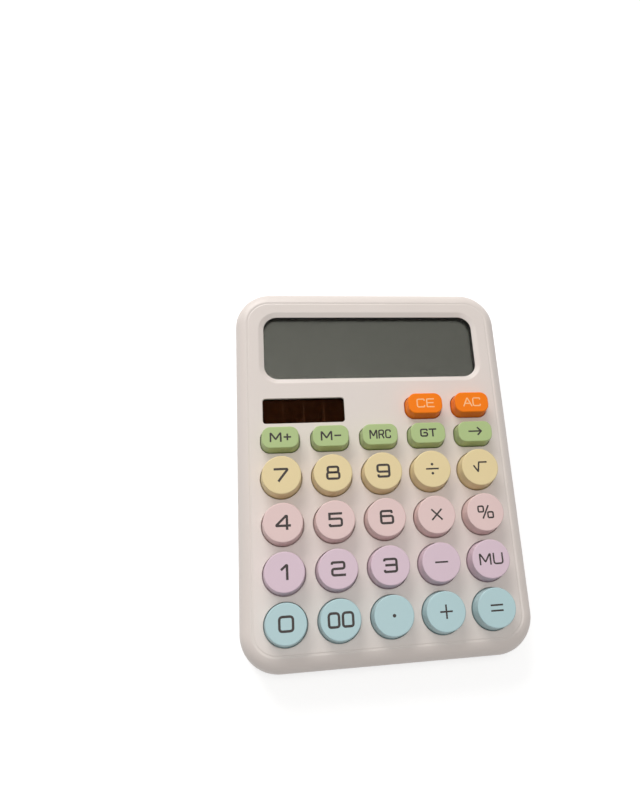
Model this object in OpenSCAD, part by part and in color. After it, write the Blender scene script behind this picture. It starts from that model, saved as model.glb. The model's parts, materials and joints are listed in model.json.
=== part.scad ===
// Desk calculator with a twelve digit display, a solar cell and 27 key caps.
// The case is a wedge: a flat base and a face that leans towards the user.
// Row frame: +X right, +Y towards the display, +Z up, the rubber feet stand on Z = 0.
// Face frame: the same X, with Y along the face and Z out of it, from the middle of the face.

/* [Case] */
// Width of the case at its widest line
case_w = 117; // [116:1:126]
// Length of the case along its face
case_l = 160; // [158:1:172]
// Corner radius of the case outline
corner_r = 15.5; // [14:0.5:20]
// Wall thickness of both shells
wall = 2; // [1.8:0.1:2.3]
// Lean of the face towards the user, in degrees
tilt = 5; // [4.5:0.25:7]
// Height of the face above the desk at its front end
front_h = 17; // [16.5:0.5:21]
// Width of the rounded rim at the front and rear of the face
rim_w = 5.5; // [4.5:0.5:6]
// Width of the rounded rim at the left and right of the face
side_rim_w = 4.3; // [3.8:0.1:6]
// Drop of the rounded rim below the face
rim_drop = 6; // [4:0.5:7]
// Depth of the joint between the two shells below the face
split_depth = 9; // [8.8:0.1:9.6]
// Straight band of the lower shell below the joint
skirt_h = 1.5; // [1:0.25:2.5]
// Step in from the widest line to the base
base_inset = 3.5; // [3:0.25:4]
// Radius between the base and the sides
base_round = 2.5; // [1.5:0.25:2.75]
// Width of the fine groove between face and rim
groove_w = 0.7; // [0.4:0.1:1]
// Depth of the fine groove
groove_depth = 0.4; // [0.2:0.1:0.7]
// Height of the lip that centres the shells
lip_h = 1.5; // [1:0.25:2]

/* [Keys] */
// Distance between key columns
key_pitch_x = 20.5; // [20:0.25:21]
// Distance between the rows of round keys
key_pitch_y = 19; // [18.5:0.25:19.25]
// Front end of the case to the first row of keys
front_margin = 17.7; // [17.5:0.1:19]
// Last round row to the memory row
memory_gap = 15.9; // [15.2:0.1:16.2]
// Memory row to the clear row
clear_gap = 13.2; // [13:0.1:13.5]
// Diameter of a round key at its top
key_d = 15.6; // [14:0.2:15.8]
// Width of an oval key at its top
oval_w = 14.8; // [13.4:0.2:15]
// Length of an oval key at its top
oval_l = 9; // [8:0.1:9.1]
// Corner radius of an oval key at its top
oval_r = 3.4; // [3:0.1:3.9]
// Height of an oval key above the face
oval_h = 6; // [4.5:0.5:8]
// Height of a round key above the face
key_h = 7; // [5:0.5:9]
// Widening of a key from its top to the face, on each side
key_draft = 0.35; // [0.1:0.05:0.4]
// Rounding of a key's top edge
key_edge = 0.5; // [0.3:0.1:0.8]
// Wall thickness of a key cap
key_wall = 1.3; // [1:0.1:1.6]
// Travel of a key
key_travel = 1.8; // [1:0.1:1.9]
// Gap between a key and its hole in the face
key_gap = 0.3; // [0.2:0.05:0.35]
// Overhang of a key's flange past its skirt
flange_w = 0.9; // [0.7:0.05:0.95]
// Thickness of a key's flange
flange_t = 0.9; // [0.7:0.05:1]
// Radius of a key's plunger
plunger_r = 2; // [1.5:0.1:2.2]

/* [Display] */
// Width of the display window
window_w = 93.5; // [88:0.5:95]
// Length of the display window
window_l = 29; // [26:0.5:30]
// Corner radius of the display window
window_r = 6; // [4:0.5:8]
// Rear end of the case to the display window
window_margin = 12.7; // [12.5:0.1:13.5]
// Width of the slope round the display window
window_slope = 2; // [1:0.1:2.2]
// Drop of the slope round the display window
slope_drop = 0.7; // [0.4:0.05:0.8]
// Thickness of the clear display lens
lens_t = 0.9; // [0.7:0.05:1]
// Overlap of the lens behind the window edge
lens_lap = 2; // [1:0.25:2.5]
// Thickness of the foam gasket between the lens and the display glass
gasket_t = 1.2; // [1:0.1:2]
// Width of the display glass
glass_w = 99; // [98:0.25:99.5]
// Length of the display glass
glass_l = 37; // [36:0.25:37]
// Thickness of each of the two display glasses
glass_t = 1.1; // [0.7:0.05:1.1]
// Ledge on which the display ribbon is bonded
ledge = 2.5; // [2:0.1:3]
// Wall of the rib round the display glass
rib_t = 1.2; // [0.8:0.1:1.2]
// Width of the flat display ribbon
ribbon_w = 37; // [20:1:38]

/* [Solar cell] */
// Width of the solar window
solar_w = 34.2; // [30:0.2:34.4]
// Length of the solar window
solar_l = 11; // [9:0.2:11.2]
// Left end of the solar window from the left side of the case
solar_margin = 10.7; // [10.5:0.1:12]
// Length of the cell itself, along its short side
cell_l = 12.6; // [12.5:0.1:13]
// Width of the cell itself
cell_w = 35; // [34.6:0.1:35.4]
// Thickness of the cell
cell_t = 1.1; // [0.7:0.1:1.2]

/* [Inside] */
// Thickness of the circuit board
board_t = 1.6; // [1:0.1:1.6]
// Depth of the circuit board's upper side below the face
board_depth = 7.5; // [7.3:0.1:7.7]
// Thickness of the rubber keypad sheet
sheet_t = 1; // [0.6:0.1:1.2]
// Radius of a rubber dome at its foot
dome_r = 4.5; // [4:0.1:4.6]
// Radius of the posts that carry the board
board_post_r = 2.25; // [2:0.05:2.3]
// Radius of the upper shell's screw posts
case_post_r = 2.5; // [2.3:0.05:2.6]
// Radius of a screw's shank
screw_r = 1.15; // [1:0.05:1.2]
// Radius of a screw's head
head_r = 2.4; // [2.2:0.1:2.5]
// Thickness of a screw's head
head_t = 1.5; // [1.2:0.1:1.8]
// Length of a case screw's shank
case_screw_l = 8; // [6:0.5:8.5]
// Length of a board screw's shank
board_screw_l = 5; // [4:0.5:6]

/* [Battery] */
// Radius of the battery
battery_r = 5.2; // [5:0.1:5.3]
// Length of the battery with its nub
battery_l = 44.5; // [43.5:0.5:45]
// Rear end of the case to the battery's axis
battery_margin = 27; // [26:0.5:29]
// Space for the spring contact at the negative end
spring_space = 5.5; // [4.5:0.25:6]
// Radius of the spring wire
spring_wire_r = 0.4; // [0.3:0.05:0.5]
// Thickness of the battery door
door_t = 1.8; // [1.5:0.1:2]
// Half of the battery door's width
door_half_w = 31; // [30.5:0.25:32]
// Width of the tongue on each side of the door
tongue_w = 1.4; // [1:0.1:1.8]

/* [Feet] */
// Radius of a rubber foot
foot_r = 5; // [4:0.25:6]
// Height of a rubber foot below the base
foot_h = 1.5; // [1:0.1:2]
// Depth of the pocket that holds a foot
foot_pocket = 0.8; // [0.5:0.1:1]
// Sides and ends of the case to the middle of a foot
foot_margin = 16; // [15:0.5:18]

/* [Hidden] */
$fn = 48;
eps = 0.01;
// Clearance between pieces that touch face to face
touch = 0.05;
// Clearance between pieces that slide into each other
slide = 0.15;
// Clearance round a part that drops into a ribbed pocket
pocket_gap = 0.2;
// Clearance round a post that passes through the keypad sheet
post_gap = 0.3;
// Slack between a key's flange and the face, and how far its plunger stands out below
flange_gap = 0.1;
plunger_reach = 0.2;
rim_steps = 6;
base_steps = 4;

// Place of the face frame in the row frame. The widest band of the case runs from
// rim_drop to split_depth + skirt_h below the face, and its two ends set the middle in Y.
face_y = -(rim_drop + split_depth + skirt_h) / 2 * sin(tilt);
face_z = front_h + case_l / 2 * sin(tilt);

// Key rows and columns, in the face frame
first_row = -case_l / 2 + front_margin;
last_round_row = first_row + 3 * key_pitch_y;
memory_row = last_round_row + memory_gap;
clear_row = memory_row + clear_gap;
row_y = [first_row, first_row + key_pitch_y, first_row + 2 * key_pitch_y, last_round_row,
         memory_row, clear_row];
function column_x(c) = (c - 2) * key_pitch_x;

// name, column, row, shape and colour of every key
BLUE = [0.68, 0.8, 0.82];
VIOLET = [0.83, 0.74, 0.8];
PINK = [0.88, 0.76, 0.75];
YELLOW = [0.89, 0.81, 0.63];
GREEN = [0.69, 0.77, 0.54];
ORANGE = [0.98, 0.48, 0.1];
KEYS = [
  ["key_0", 0, 0, "round", BLUE], ["key_00", 1, 0, "round", BLUE],
  ["key_point", 2, 0, "round", BLUE], ["key_plus", 3, 0, "round", BLUE],
  ["key_equals", 4, 0, "round", BLUE],
  ["key_1", 0, 1, "round", VIOLET], ["key_2", 1, 1, "round", VIOLET],
  ["key_3", 2, 1, "round", VIOLET], ["key_minus", 3, 1, "round", VIOLET],
  ["key_markup", 4, 1, "round", VIOLET],
  ["key_4", 0, 2, "round", PINK], ["key_5", 1, 2, "round", PINK],
  ["key_6", 2, 2, "round", PINK], ["key_multiply", 3, 2, "round", PINK],
  ["key_percent", 4, 2, "round", PINK],
  ["key_7", 0, 3, "round", YELLOW], ["key_8", 1, 3, "round", YELLOW],
  ["key_9", 2, 3, "round", YELLOW], ["key_divide", 3, 3, "round", YELLOW],
  ["key_root", 4, 3, "round", YELLOW],
  ["key_memory_plus", 0, 4, "oval", GREEN], ["key_memory_minus", 1, 4, "oval", GREEN],
  ["key_memory_recall", 2, 4, "oval", GREEN], ["key_grand_total", 3, 4, "oval", GREEN],
  ["key_backspace", 4, 4, "oval", GREEN],
  ["key_clear_entry", 3, 5, "oval", ORANGE], ["key_all_clear", 4, 5, "oval", ORANGE]
];
function key_x(k) = column_x(k[1]);
function key_y(k) = row_y[k[2]];

// Depths below the face
flange_top = wall + flange_gap;
flange_bottom = flange_top + flange_t;
plunger_end = flange_bottom + plunger_reach;
gasket_top = wall + touch;
glass_top = gasket_top + gasket_t + touch;
glass_bottom = glass_top + 2 * glass_t;
backing_t = 0.8;
ribbon_t = 0.15;
backing_top = glass_bottom + touch;
bracket_top = backing_top + backing_t + touch;
bracket_t = 1;
sheet_top = board_depth - sheet_t;
board_bottom = board_depth + board_t;
cell_top = wall + touch;
cell_bottom = cell_top + cell_t;

// Display and solar windows, in the face frame
window_y = case_l / 2 - window_margin - window_l / 2;
glass_y = window_y;
glass_front = glass_y - glass_l / 2;
solar_x = -case_w / 2 + solar_margin + solar_w / 2;
solar_y = clear_row;
solar_r = 1.3;
cell_y = solar_y + 0.4;

// Rubber domes: a collar under the plunger, on a thin cone that buckles
dome_top = plunger_end + touch;
dome_collar_r = plunger_r + 0.6;
dome_collar_h = 0.9;
dome_wall = 0.8;
contact_gap = key_travel + 0.15;

// Board and keypad sheet, in the face frame
sheet_half_w = 2 * key_pitch_x + dome_r + 0.4;
sheet_front = first_row - dome_r - 0.7;
sheet_step_x = key_pitch_x - dome_r - 7;
sheet_step_y = memory_row + dome_r + 1.5;
sheet_rear = clear_row + dome_r + 0.5;
board_half_w = sheet_half_w + 0.2;
board_front = sheet_front - 0.7;
board_rear = glass_front - 2;

// Posts of the upper shell, in the face frame
between_x = key_pitch_x / 2;
board_posts = [
  [-3 * between_x, first_row + key_pitch_y / 2], [3 * between_x, first_row + key_pitch_y / 2],
  [-3 * between_x, first_row + 2.5 * key_pitch_y], [3 * between_x, first_row + 2.5 * key_pitch_y],
  [-between_x, last_round_row + memory_gap / 2], [between_x, last_round_row + memory_gap / 2],
  [-between_x / 2, board_rear - board_post_r], [3 * between_x, board_rear - board_post_r]
];
side_post_x = case_w / 2 - 7.5;
case_posts = [
  [-3 * between_x, -case_l / 2 + 7.5], [3 * between_x, -case_l / 2 + 7.5],
  [-side_post_x, last_round_row + memory_gap / 2], [side_post_x, last_round_row + memory_gap / 2]
];
bracket_post_x = glass_w / 2 + pocket_gap + rib_t + 1.9;
bracket_posts = [for (x = [-1, 1], y = [-9, 9]) [x * bracket_post_x, glass_y + y]];
bracket_post_r = 2.1;
bracket_screw_l = 3.6;
pilot_r = screw_r + touch;

// Lip of the lower shell and the hooks at its rear
lip_t = 0.9;
lip_top = split_depth - lip_h;
hook_w = 8;
hook_t = 1;
hook_x = case_w / 2 - corner_r - hook_w / 2 - 3;
ledge_low = lip_top - 0.2;
ledge_high = ledge_low - hook_t;

// Lower shell and battery, in the row frame
seat_depth = split_depth + 2.5;
well_r = head_r + 0.6;
well_wall = 1.2;
floor_z = foot_h + wall;
door_gap = 0.2;
door_top = foot_h + door_t;
pad_z = door_top + door_gap;
pad_t = 1.6;
battery_y = case_l / 2 - battery_margin;
foot_x = case_w / 2 - foot_margin;
foot_y = case_l / 2 - foot_margin;
tub_l = battery_l + spring_space + 1.5;
tub_w = 2 * battery_r + 1.2;
battery_z = pad_z + 0.4 + battery_r;
tub_top = battery_z + battery_r + 0.4;
tub_wall = 1.2;
tub_front = battery_y - tub_w / 2 - tub_wall;
tag_w = 3.6;
tag_reach = 1.5;
plate_t = 0.4;
nub_l = 0.8;
nub_r = 1.9;
battery_x = (spring_space - 1.5) / 2;
door_front = battery_y - tub_w / 2 - 3;

// ---------------------------------------------------------------- shapes

// Outline points of a rectangle with round corners
function rounded(w, l, r, n = 8) = [
  for (q = [[1, 1, 0], [-1, 1, 90], [-1, -1, 180], [1, -1, 270]], i = [0 : n])
    let (a = q[2] + 90 * i / n)
      [q[0] * (w / 2 - r) + r * cos(a), q[1] * (l / 2 - r) + r * sin(a)]
];

// A plate with round corners, from z = 0 upwards
module plate(w, l, r, h) linear_extrude(h) polygon(rounded(w, l, r));

// A slice of the case outline, stepped in by inset
module case_slice(inset, h = eps) plate(case_w - 2 * inset, case_l - 2 * inset, corner_r - inset, h);

// Puts its children into the face frame
module on_face() translate([0, face_y, face_z]) rotate([tilt, 0, 0]) children();

function unit(v) = v / norm(v);

// A round wire of radius r along the points of path. side is a direction it never runs along.
module wire(path, r, side, sides = 8) {
  last = len(path) - 1;
  rings = [
    for (i = [0 : last])
      let (
        t = unit(path[min(i + 1, last)] - path[max(i - 1, 0)]),
        u = unit(cross(t, side)),
        v = cross(t, u)
      )
      for (k = [0 : sides - 1])
        path[i] + r * (cos(360 * k / sides) * u + sin(360 * k / sides) * v)
  ];
  walls = [
    for (i = [0 : last - 1], k = [0 : sides - 1])
      let (a = i * sides + k, b = i * sides + (k + 1) % sides)
        each [[a, a + sides, b + sides], [a, b + sides, b]]
  ];
  polyhedron(rings, concat(
    [[for (k = [0 : sides - 1]) k]],
    walls,
    [[for (k = [sides - 1 : -1 : 0]) last * sides + k]]
  ));
}

// A self-tapping screw whose head's underside is at z = 0 and whose shank runs up
module screw(shank) {
  difference() {
    union() {
      translate([0, 0, -head_t]) cylinder(r = head_r, h = head_t);
      cylinder(r = screw_r, h = shank - screw_r);
      translate([0, 0, shank - screw_r]) cylinder(r1 = screw_r, r2 = 0.3, h = screw_r);
    }
    for (turn = [0, 90]) rotate([0, 0, turn])
      translate([-1.5, -0.25, -head_t - eps]) cube([3, 0.5, 0.8]);
  }
}

// ---------------------------------------------------------------- case

// A slice of the upper shell's outer form through its rim, at a share of the rim's width
module rim_slice(share, inset = 0, h = eps)
  plate(case_w - 2 * (inset + side_rim_w * share), case_l - 2 * (inset + rim_w * share),
        corner_r - inset - rim_w * share, h);

// Outer form of the upper shell
module top_form() hull() {
  for (i = [0 : rim_steps]) {
    a = 90 * i / rim_steps;
    translate([0, 0, -rim_drop * (1 - cos(a)) - eps]) rim_slice(1 - sin(a));
  }
  translate([0, 0, -split_depth]) case_slice(0);
}

// Hollow of the upper shell
module top_hollow() hull() {
  for (i = [0 : 2 : rim_steps]) {
    a = 90 * i / rim_steps;
    translate([0, 0, -wall - (rim_drop - wall) * (1 - cos(a)) - eps])
      case_slice(wall + rim_w * (1 - sin(a)));
  }
  translate([0, 0, -split_depth - 1]) case_slice(wall);
}

// Room for one key, with its clearance
module key_hole(k) translate([key_x(k), key_y(k), -wall - 1]) {
  if (k[3] == "round")
    cylinder(r = key_d / 2 + key_draft + key_gap, h = wall + 2);
  else
    plate(oval_w + 2 * (key_draft + key_gap), oval_l + 2 * (key_draft + key_gap),
          oval_r + key_draft + key_gap, wall + 2);
}

// A rib that surrounds a w by l part
module rib_ring(w, l, t, depth) translate([0, 0, -depth]) difference() {
  plate(w + 2 * t, l + 2 * t, 1, depth);
  translate([0, 0, -eps]) plate(w, l, 0.5, depth + 1);
}

// Posts and ribs that stand inside the upper shell
module top_ribs() {
  for (p = board_posts) translate([p[0], p[1], -board_depth + touch])
    cylinder(r = board_post_r, h = board_depth - touch);
  for (p = case_posts) translate([p[0], p[1], -split_depth])
    cylinder(r = case_post_r, h = split_depth);
  for (p = bracket_posts) translate([p[0], p[1], -bracket_top + touch])
    cylinder(r = bracket_post_r, h = bracket_top - touch);
  rear_ledges();
  translate([0, glass_y, 0])
    rib_ring(glass_w + 2 * pocket_gap, glass_l + 2 * pocket_gap, rib_t, bracket_top - 0.15);
  translate([solar_x, cell_y, 0])
    rib_ring(cell_w + 2 * pocket_gap, cell_l + 2 * pocket_gap, 0.8, cell_bottom + 0.6);
}

// Ledges inside the rear wall of the upper shell, which the lower shell's hooks hold
module rear_ledges() for (x = [-hook_x, hook_x])
  translate([x - hook_w / 2 - 1, case_l / 2 - wall - hook_t, -ledge_low])
    cube([hook_w + 2, hook_t + 1, hook_t]);

// Hooks at the rear of the lower shell, just inside its lip
module rear_hooks() for (x = [-hook_x, hook_x])
  translate([x - hook_w / 2, case_l / 2 - wall - hook_t - 0.1, 0])
    rotate([90, 0, 90]) linear_extrude(hook_w) polygon([
      [0, -ledge_high + 0.1], [0.8, -ledge_high + 0.1], [0, -ledge_high + 1],
      [-hook_t, -ledge_high + 1], [-hook_t, -split_depth - 1], [0.6, -split_depth - 1],
      [0.6, -split_depth + 0.3], [0, -split_depth + 0.3]
    ]);

// Pilot holes for the screws in the posts of the upper shell
module pilot_holes() {
  for (p = board_posts) translate([p[0], p[1], -board_depth - 1])
    cylinder(r = pilot_r, h = board_depth + 1 - wall);
  for (p = case_posts) translate([p[0], p[1], -split_depth - 1])
    cylinder(r = pilot_r, h = case_screw_l - (seat_depth - split_depth) + 1.5);
  for (p = bracket_posts) translate([p[0], p[1], -bracket_top - 1])
    cylinder(r = pilot_r, h = bracket_top + 1 - wall);
}

module top_case() color([0.9, 0.86, 0.83]) on_face() difference() {
  top_form();
  difference() {
    top_hollow();
    top_ribs();
  }
  for (k = KEYS) key_hole(k);
  // fine groove between face and rim
  translate([0, 0, -groove_depth]) difference() {
    rim_slice(1, 0, 1);
    translate([0, 0, -eps]) rim_slice(1, groove_w, 2);
  }
  // display window, its slope and the seat of the lens
  translate([0, window_y, 0]) {
    translate([0, 0, -wall - 1]) plate(window_w, window_l, window_r, wall + 2);
    hull() {
      translate([0, 0, -slope_drop]) plate(window_w, window_l, window_r, eps);
      plate(window_w + 2 * window_slope, window_l + 2 * window_slope, window_r + window_slope, eps);
    }
    translate([0, 0, -wall - 1])
      plate(window_w + 2 * (lens_lap + slide), window_l + 2 * (lens_lap + slide),
            window_r, 1 + lens_t + touch);
  }
  // pocket of the display glass, where its corners meet the rounded rim
  translate([0, glass_y, -bracket_top])
    plate(glass_w + 2 * pocket_gap, glass_l + 2 * pocket_gap, 0.5, bracket_top - wall);
  // solar window and the seat of its cover
  translate([solar_x, solar_y, -wall - 1]) plate(solar_w, solar_l, solar_r, wall + 2);
  translate([solar_x, cell_y, -wall - 1]) plate(cell_w, cell_l, 0.5, 1 + lens_t + touch);
  pilot_holes();
}

// Outer form of the lower shell: the band under the joint, down to the level base
module bottom_form() hull() {
  on_face() {
    translate([0, 0, -split_depth - eps]) case_slice(0);
    translate([0, 0, -split_depth - skirt_h]) case_slice(0);
  }
  for (i = [0 : base_steps]) {
    a = 90 * i / base_steps;
    translate([0, 0, foot_h + base_round * (1 - cos(a))])
      case_slice(base_inset - base_round * sin(a));
  }
}

// Hollow of the lower shell
module bottom_hollow() hull() {
  on_face() {
    translate([0, 0, -split_depth + 1]) case_slice(wall);
    translate([0, 0, -split_depth - skirt_h]) case_slice(wall);
  }
  translate([0, 0, floor_z]) case_slice(base_inset + wall);
  translate([0, 0, floor_z + base_round]) case_slice(base_inset - base_round + wall);
}

// Screw posts of the lower shell, with their closed upper ends at the joint
module lower_posts() for (p = case_posts)
  on_face() translate([p[0], p[1], -split_depth - 40]) cylinder(r = well_r + well_wall, h = 40);

// Wells for the case screws, and their clearance holes
module screw_wells() on_face() for (p = case_posts) translate([p[0], p[1], 0]) {
  translate([0, 0, -seat_depth - 40]) cylinder(r = well_r, h = 40);
  translate([0, 0, -split_depth - 10]) cylinder(r = screw_r + slide, h = 12);
}

// Solid block that carries the battery tub and roofs the door's slot
module battery_block() {
  translate([-tub_l / 2 - tub_wall, battery_y - tub_w / 2 - tub_wall, foot_h])
    cube([tub_l + 2 * tub_wall, tub_w + 2 * tub_wall, tub_top + tub_wall - foot_h]);
  translate([-door_half_w - tongue_w - 1.5, door_front - 1.5, foot_h])
    cube([2 * (door_half_w + tongue_w + 1.5), case_l, pad_z + pad_t - foot_h]);
}

// Slot that the door slides in, open at the rear, and the battery tub above it
module battery_room() {
  translate([-door_half_w - slide, door_front - slide, foot_h - 1])
    cube([2 * (door_half_w + slide), case_l, 1 + door_t + door_gap]);
  translate([-door_half_w - tongue_w - slide, door_front - slide, foot_h + door_t / 2 - slide])
    cube([2 * (door_half_w + tongue_w + slide), case_l, door_t / 2 + slide + door_gap]);
  translate([-tub_l / 2, battery_y - tub_w / 2, foot_h])
    cube([tub_l, tub_w, tub_top - foot_h]);
  // slots through the tub's front wall for the tags of the two contacts
  for (x = [-tub_l / 2, tub_l / 2 - 1])
    translate([x, tub_front - 1, battery_z - tag_w / 2 - 0.3]) cube([1, tub_wall + 2, tag_w + 0.6]);
}

module bottom_case() color([0.88, 0.84, 0.81]) difference() {
  union() {
    difference() {
      bottom_form();
      difference() {
        bottom_hollow();
        lower_posts();
        battery_block();
      }
    }
    // lip that enters the upper shell, on a ledge that joins it to the wall
    on_face() difference() {
      union() {
        translate([0, 0, -split_depth - 1]) case_slice(wall + slide, lip_h + 1);
        translate([0, 0, -split_depth - 1.2]) case_slice(wall - 0.3, 1);
      }
      translate([0, 0, -split_depth - 2]) case_slice(wall + slide + lip_t, lip_h + 3);
    }
    on_face() rear_hooks();
  }
  screw_wells();
  battery_room();
  for (x = [-foot_x, foot_x], y = [-foot_y, foot_y])
    translate([x, y, foot_h - 1]) cylinder(r = foot_r + touch, h = 1 + foot_pocket);
}

module foot(x, y) color([0.2, 0.2, 0.2]) translate([x, y, 0]) {
  cylinder(r1 = foot_r - 0.3, r2 = foot_r, h = 0.3);
  translate([0, 0, 0.3]) cylinder(r = foot_r, h = foot_h + foot_pocket - touch - 0.3);
}

module case_screws() color([0.75, 0.76, 0.78]) on_face()
  for (p = case_posts) translate([p[0], p[1], -seat_depth - touch]) screw(case_screw_l);

// ---------------------------------------------------------------- keys

// Section of a round key cap, from its axis outwards
module round_cap() rotate_extrude() {
  top = key_d / 2;
  foot = top + key_draft;
  polygon(concat(
    [[0, -plunger_end], [plunger_r, -plunger_end], [plunger_r, key_h - key_wall],
     [top - key_wall, key_h - key_wall], [foot - key_wall, -flange_bottom],
     [foot + flange_w, -flange_bottom], [foot + flange_w, -flange_top], [foot, -flange_top],
     [foot, 0]],
    [for (i = [0 : 4]) let (a = 90 * i / 4)
      [top - key_edge * (1 - cos(a)), key_h - key_edge * (1 - sin(a))]],
    [[0, key_h]]
  ));
}

// A slice of an oval key, grown by grow on each side
module oval_slice(grow, h = eps) plate(oval_w + 2 * grow, oval_l + 2 * grow, oval_r + grow, h);

module oval_cap() {
  difference() {
    union() {
      hull() {
        for (i = [0 : 3]) {
          a = 90 * i / 3;
          translate([0, 0, oval_h - key_edge * (1 - cos(a)) - eps]) oval_slice(-key_edge * (1 - sin(a)));
        }
        translate([0, 0, -flange_top]) oval_slice(key_draft);
      }
      translate([0, 0, -flange_bottom]) oval_slice(key_draft + flange_w, flange_t);
    }
    hull() {
      translate([0, 0, -flange_bottom - 1]) oval_slice(key_draft - key_wall);
      translate([0, 0, oval_h - key_wall]) oval_slice(-key_wall);
    }
  }
  translate([0, 0, -plunger_end]) cylinder(r = plunger_r, h = plunger_end + oval_h - key_wall / 2);
}

module key(k) color(k[4]) on_face() translate([key_x(k), key_y(k), 0]) {
  if (k[3] == "round") round_cap();
  else oval_cap();
}

// ---------------------------------------------------------------- keypad and board

// Section of a rubber dome
module dome() rotate_extrude() polygon([
  [0, -dome_top], [dome_collar_r, -dome_top], [dome_collar_r, -dome_top - dome_collar_h],
  [dome_r - 1, -dome_top - dome_collar_h - 0.2], [dome_r, -sheet_top],
  [dome_r, -board_depth + touch], [dome_r - dome_wall, -board_depth + touch],
  [dome_r - 1 - dome_wall, -dome_top - dome_collar_h - dome_wall],
  [plunger_r, -dome_top - dome_collar_h - dome_wall - 0.2],
  [plunger_r, -board_depth + touch + contact_gap], [0, -board_depth + touch + contact_gap]
]);

module keypad_sheet() color([0.86, 0.86, 0.84]) on_face() {
  difference() {
    translate([0, 0, -board_depth + touch]) linear_extrude(sheet_t - touch) polygon([
      [-sheet_half_w, sheet_front], [sheet_half_w, sheet_front], [sheet_half_w, sheet_rear],
      [sheet_step_x, sheet_rear], [sheet_step_x, sheet_step_y], [-sheet_half_w, sheet_step_y]
    ]);
    for (k = KEYS) translate([key_x(k), key_y(k), -board_depth - 1]) cylinder(r = dome_r - 0.1, h = 5);
    for (p = board_posts) translate([p[0], p[1], -board_depth - 1])
      cylinder(r = board_post_r + post_gap, h = 5);
  }
  for (k = KEYS) translate([key_x(k), key_y(k), 0]) dome();
}

module circuit_board() color([0.2, 0.45, 0.28]) on_face() difference() {
  translate([-board_half_w, board_front, -board_bottom])
    cube([2 * board_half_w, board_rear - board_front, board_t]);
  for (p = board_posts) translate([p[0], p[1], -board_bottom - 1])
    cylinder(r = screw_r + slide, h = board_t + 2);
}

// Pairs of printed carbon halves that a pressed dome joins
module contact_pads() color([0.15, 0.15, 0.16]) on_face()
  for (k = KEYS) translate([key_x(k), key_y(k), -board_depth + 0.01]) difference() {
    cylinder(r = 1.9, h = 0.06);
    translate([-3, -0.2, -1]) cube([6, 0.4, 2]);
  }

module board_screws() color([0.75, 0.76, 0.78]) on_face()
  for (p = board_posts) translate([p[0], p[1], -board_bottom - touch]) screw(board_screw_l);

// Resin drop that covers the chip on the underside of the board
module chip_cover() color([0.1, 0.1, 0.1]) on_face()
  translate([0, first_row + 1.5 * key_pitch_y, -board_bottom - touch]) rotate_extrude()
    polygon(concat([[0, 0]], [for (i = [0 : 6]) let (a = 90 * i / 6) [7.5 * cos(a), -2 * sin(a)]]));

// Electrolytic capacitors that stand off the underside of the board
module capacitors() color([0.2, 0.25, 0.4]) on_face()
  for (x = [20, 27]) translate([x, memory_row + 3, -board_bottom - touch - 6]) cylinder(r = 2.5, h = 6);

// Chip resistors and the protection diode, on the underside of the board
module board_chips() color([0.12, 0.12, 0.13]) on_face()
  for (x = [-30, -24, -18, 8]) translate([x, memory_row + 2, -board_bottom - touch - 0.6])
    cube([3.2, 1.6, 0.6]);

// ---------------------------------------------------------------- display

module display_lens() color([0.8, 0.85, 0.85, 0.4]) on_face() translate([0, window_y, -wall])
  plate(window_w + 2 * lens_lap, window_l + 2 * lens_lap, window_r, lens_t);

// Black foam frame that keeps dust off the display glass
module display_gasket() color([0.08, 0.08, 0.08]) on_face() translate([0, 0, -gasket_top - gasket_t])
  difference() {
    translate([0, glass_y, 0]) plate(glass_w, glass_l, 0.5, gasket_t);
    translate([0, window_y, -1]) plate(window_w, window_l, window_r, gasket_t + 2);
  }

// Two glasses: the front one is longer, and its ledge takes the ribbon
module display_glass() color([0.37, 0.38, 0.35]) on_face() {
  translate([-glass_w / 2, glass_front, -glass_top - glass_t]) cube([glass_w, glass_l, glass_t]);
  translate([-glass_w / 2, glass_front + ledge, -glass_bottom])
    cube([glass_w, glass_l - ledge, glass_t + eps]);
}

module display_backing() color([0.85, 0.85, 0.82]) on_face()
  translate([-glass_w / 2 + 1, glass_front + ledge + 1, -backing_top - backing_t])
    cube([glass_w - 2, glass_l - ledge - 2, backing_t]);

// Frame that clamps the display, with an ear over each of its four posts
module display_bracket() color([0.8, 0.8, 0.78]) on_face() difference() {
  translate([0, 0, -bracket_top - bracket_t]) union() {
    translate([-glass_w / 2, glass_front + ledge + 1.5, 0])
      cube([glass_w, glass_l - ledge - 2, bracket_t]);
    for (y = [-9, 9]) translate([0, glass_y + y, 0])
      plate(2 * (bracket_post_x + bracket_post_r), 5, 2, bracket_t);
  }
  translate([0, glass_y + 1, -bracket_top - bracket_t - 1])
    plate(glass_w - 18, glass_l - 16, 3, bracket_t + 2);
  for (p = bracket_posts) translate([p[0], p[1], -bracket_top - bracket_t - 1])
    cylinder(r = screw_r + slide, h = bracket_t + 2);
}

module bracket_screws() color([0.75, 0.76, 0.78]) on_face()
  for (p = bracket_posts) translate([p[0], p[1], -bracket_top - bracket_t - touch]) screw(bracket_screw_l);

// Flat ribbon from the ledge of the display to the rear edge of the board
ribbon_path = [
  [glass_front + ledge - 0.3, -glass_top - glass_t - touch],
  [glass_front + 0.4, -glass_top - glass_t - touch],
  [glass_front + 0.2, -bracket_top + touch],
  [board_rear + 0.4, -board_depth + 0.3],
  [board_rear - 0.5, -board_depth + 0.25],
  [board_rear - 3, -board_depth + 0.25]
];
module display_ribbon() color([0.75, 0.5, 0.2]) on_face()
  translate([board_posts[6][0] - board_post_r - 1 - ribbon_w, 0, 0]) rotate([90, 0, 90]) linear_extrude(ribbon_w)
    polygon(concat(ribbon_path,
      [for (i = [len(ribbon_path) - 1 : -1 : 0]) ribbon_path[i] + [0.1, -ribbon_t]]));

// ---------------------------------------------------------------- solar cell

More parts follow.
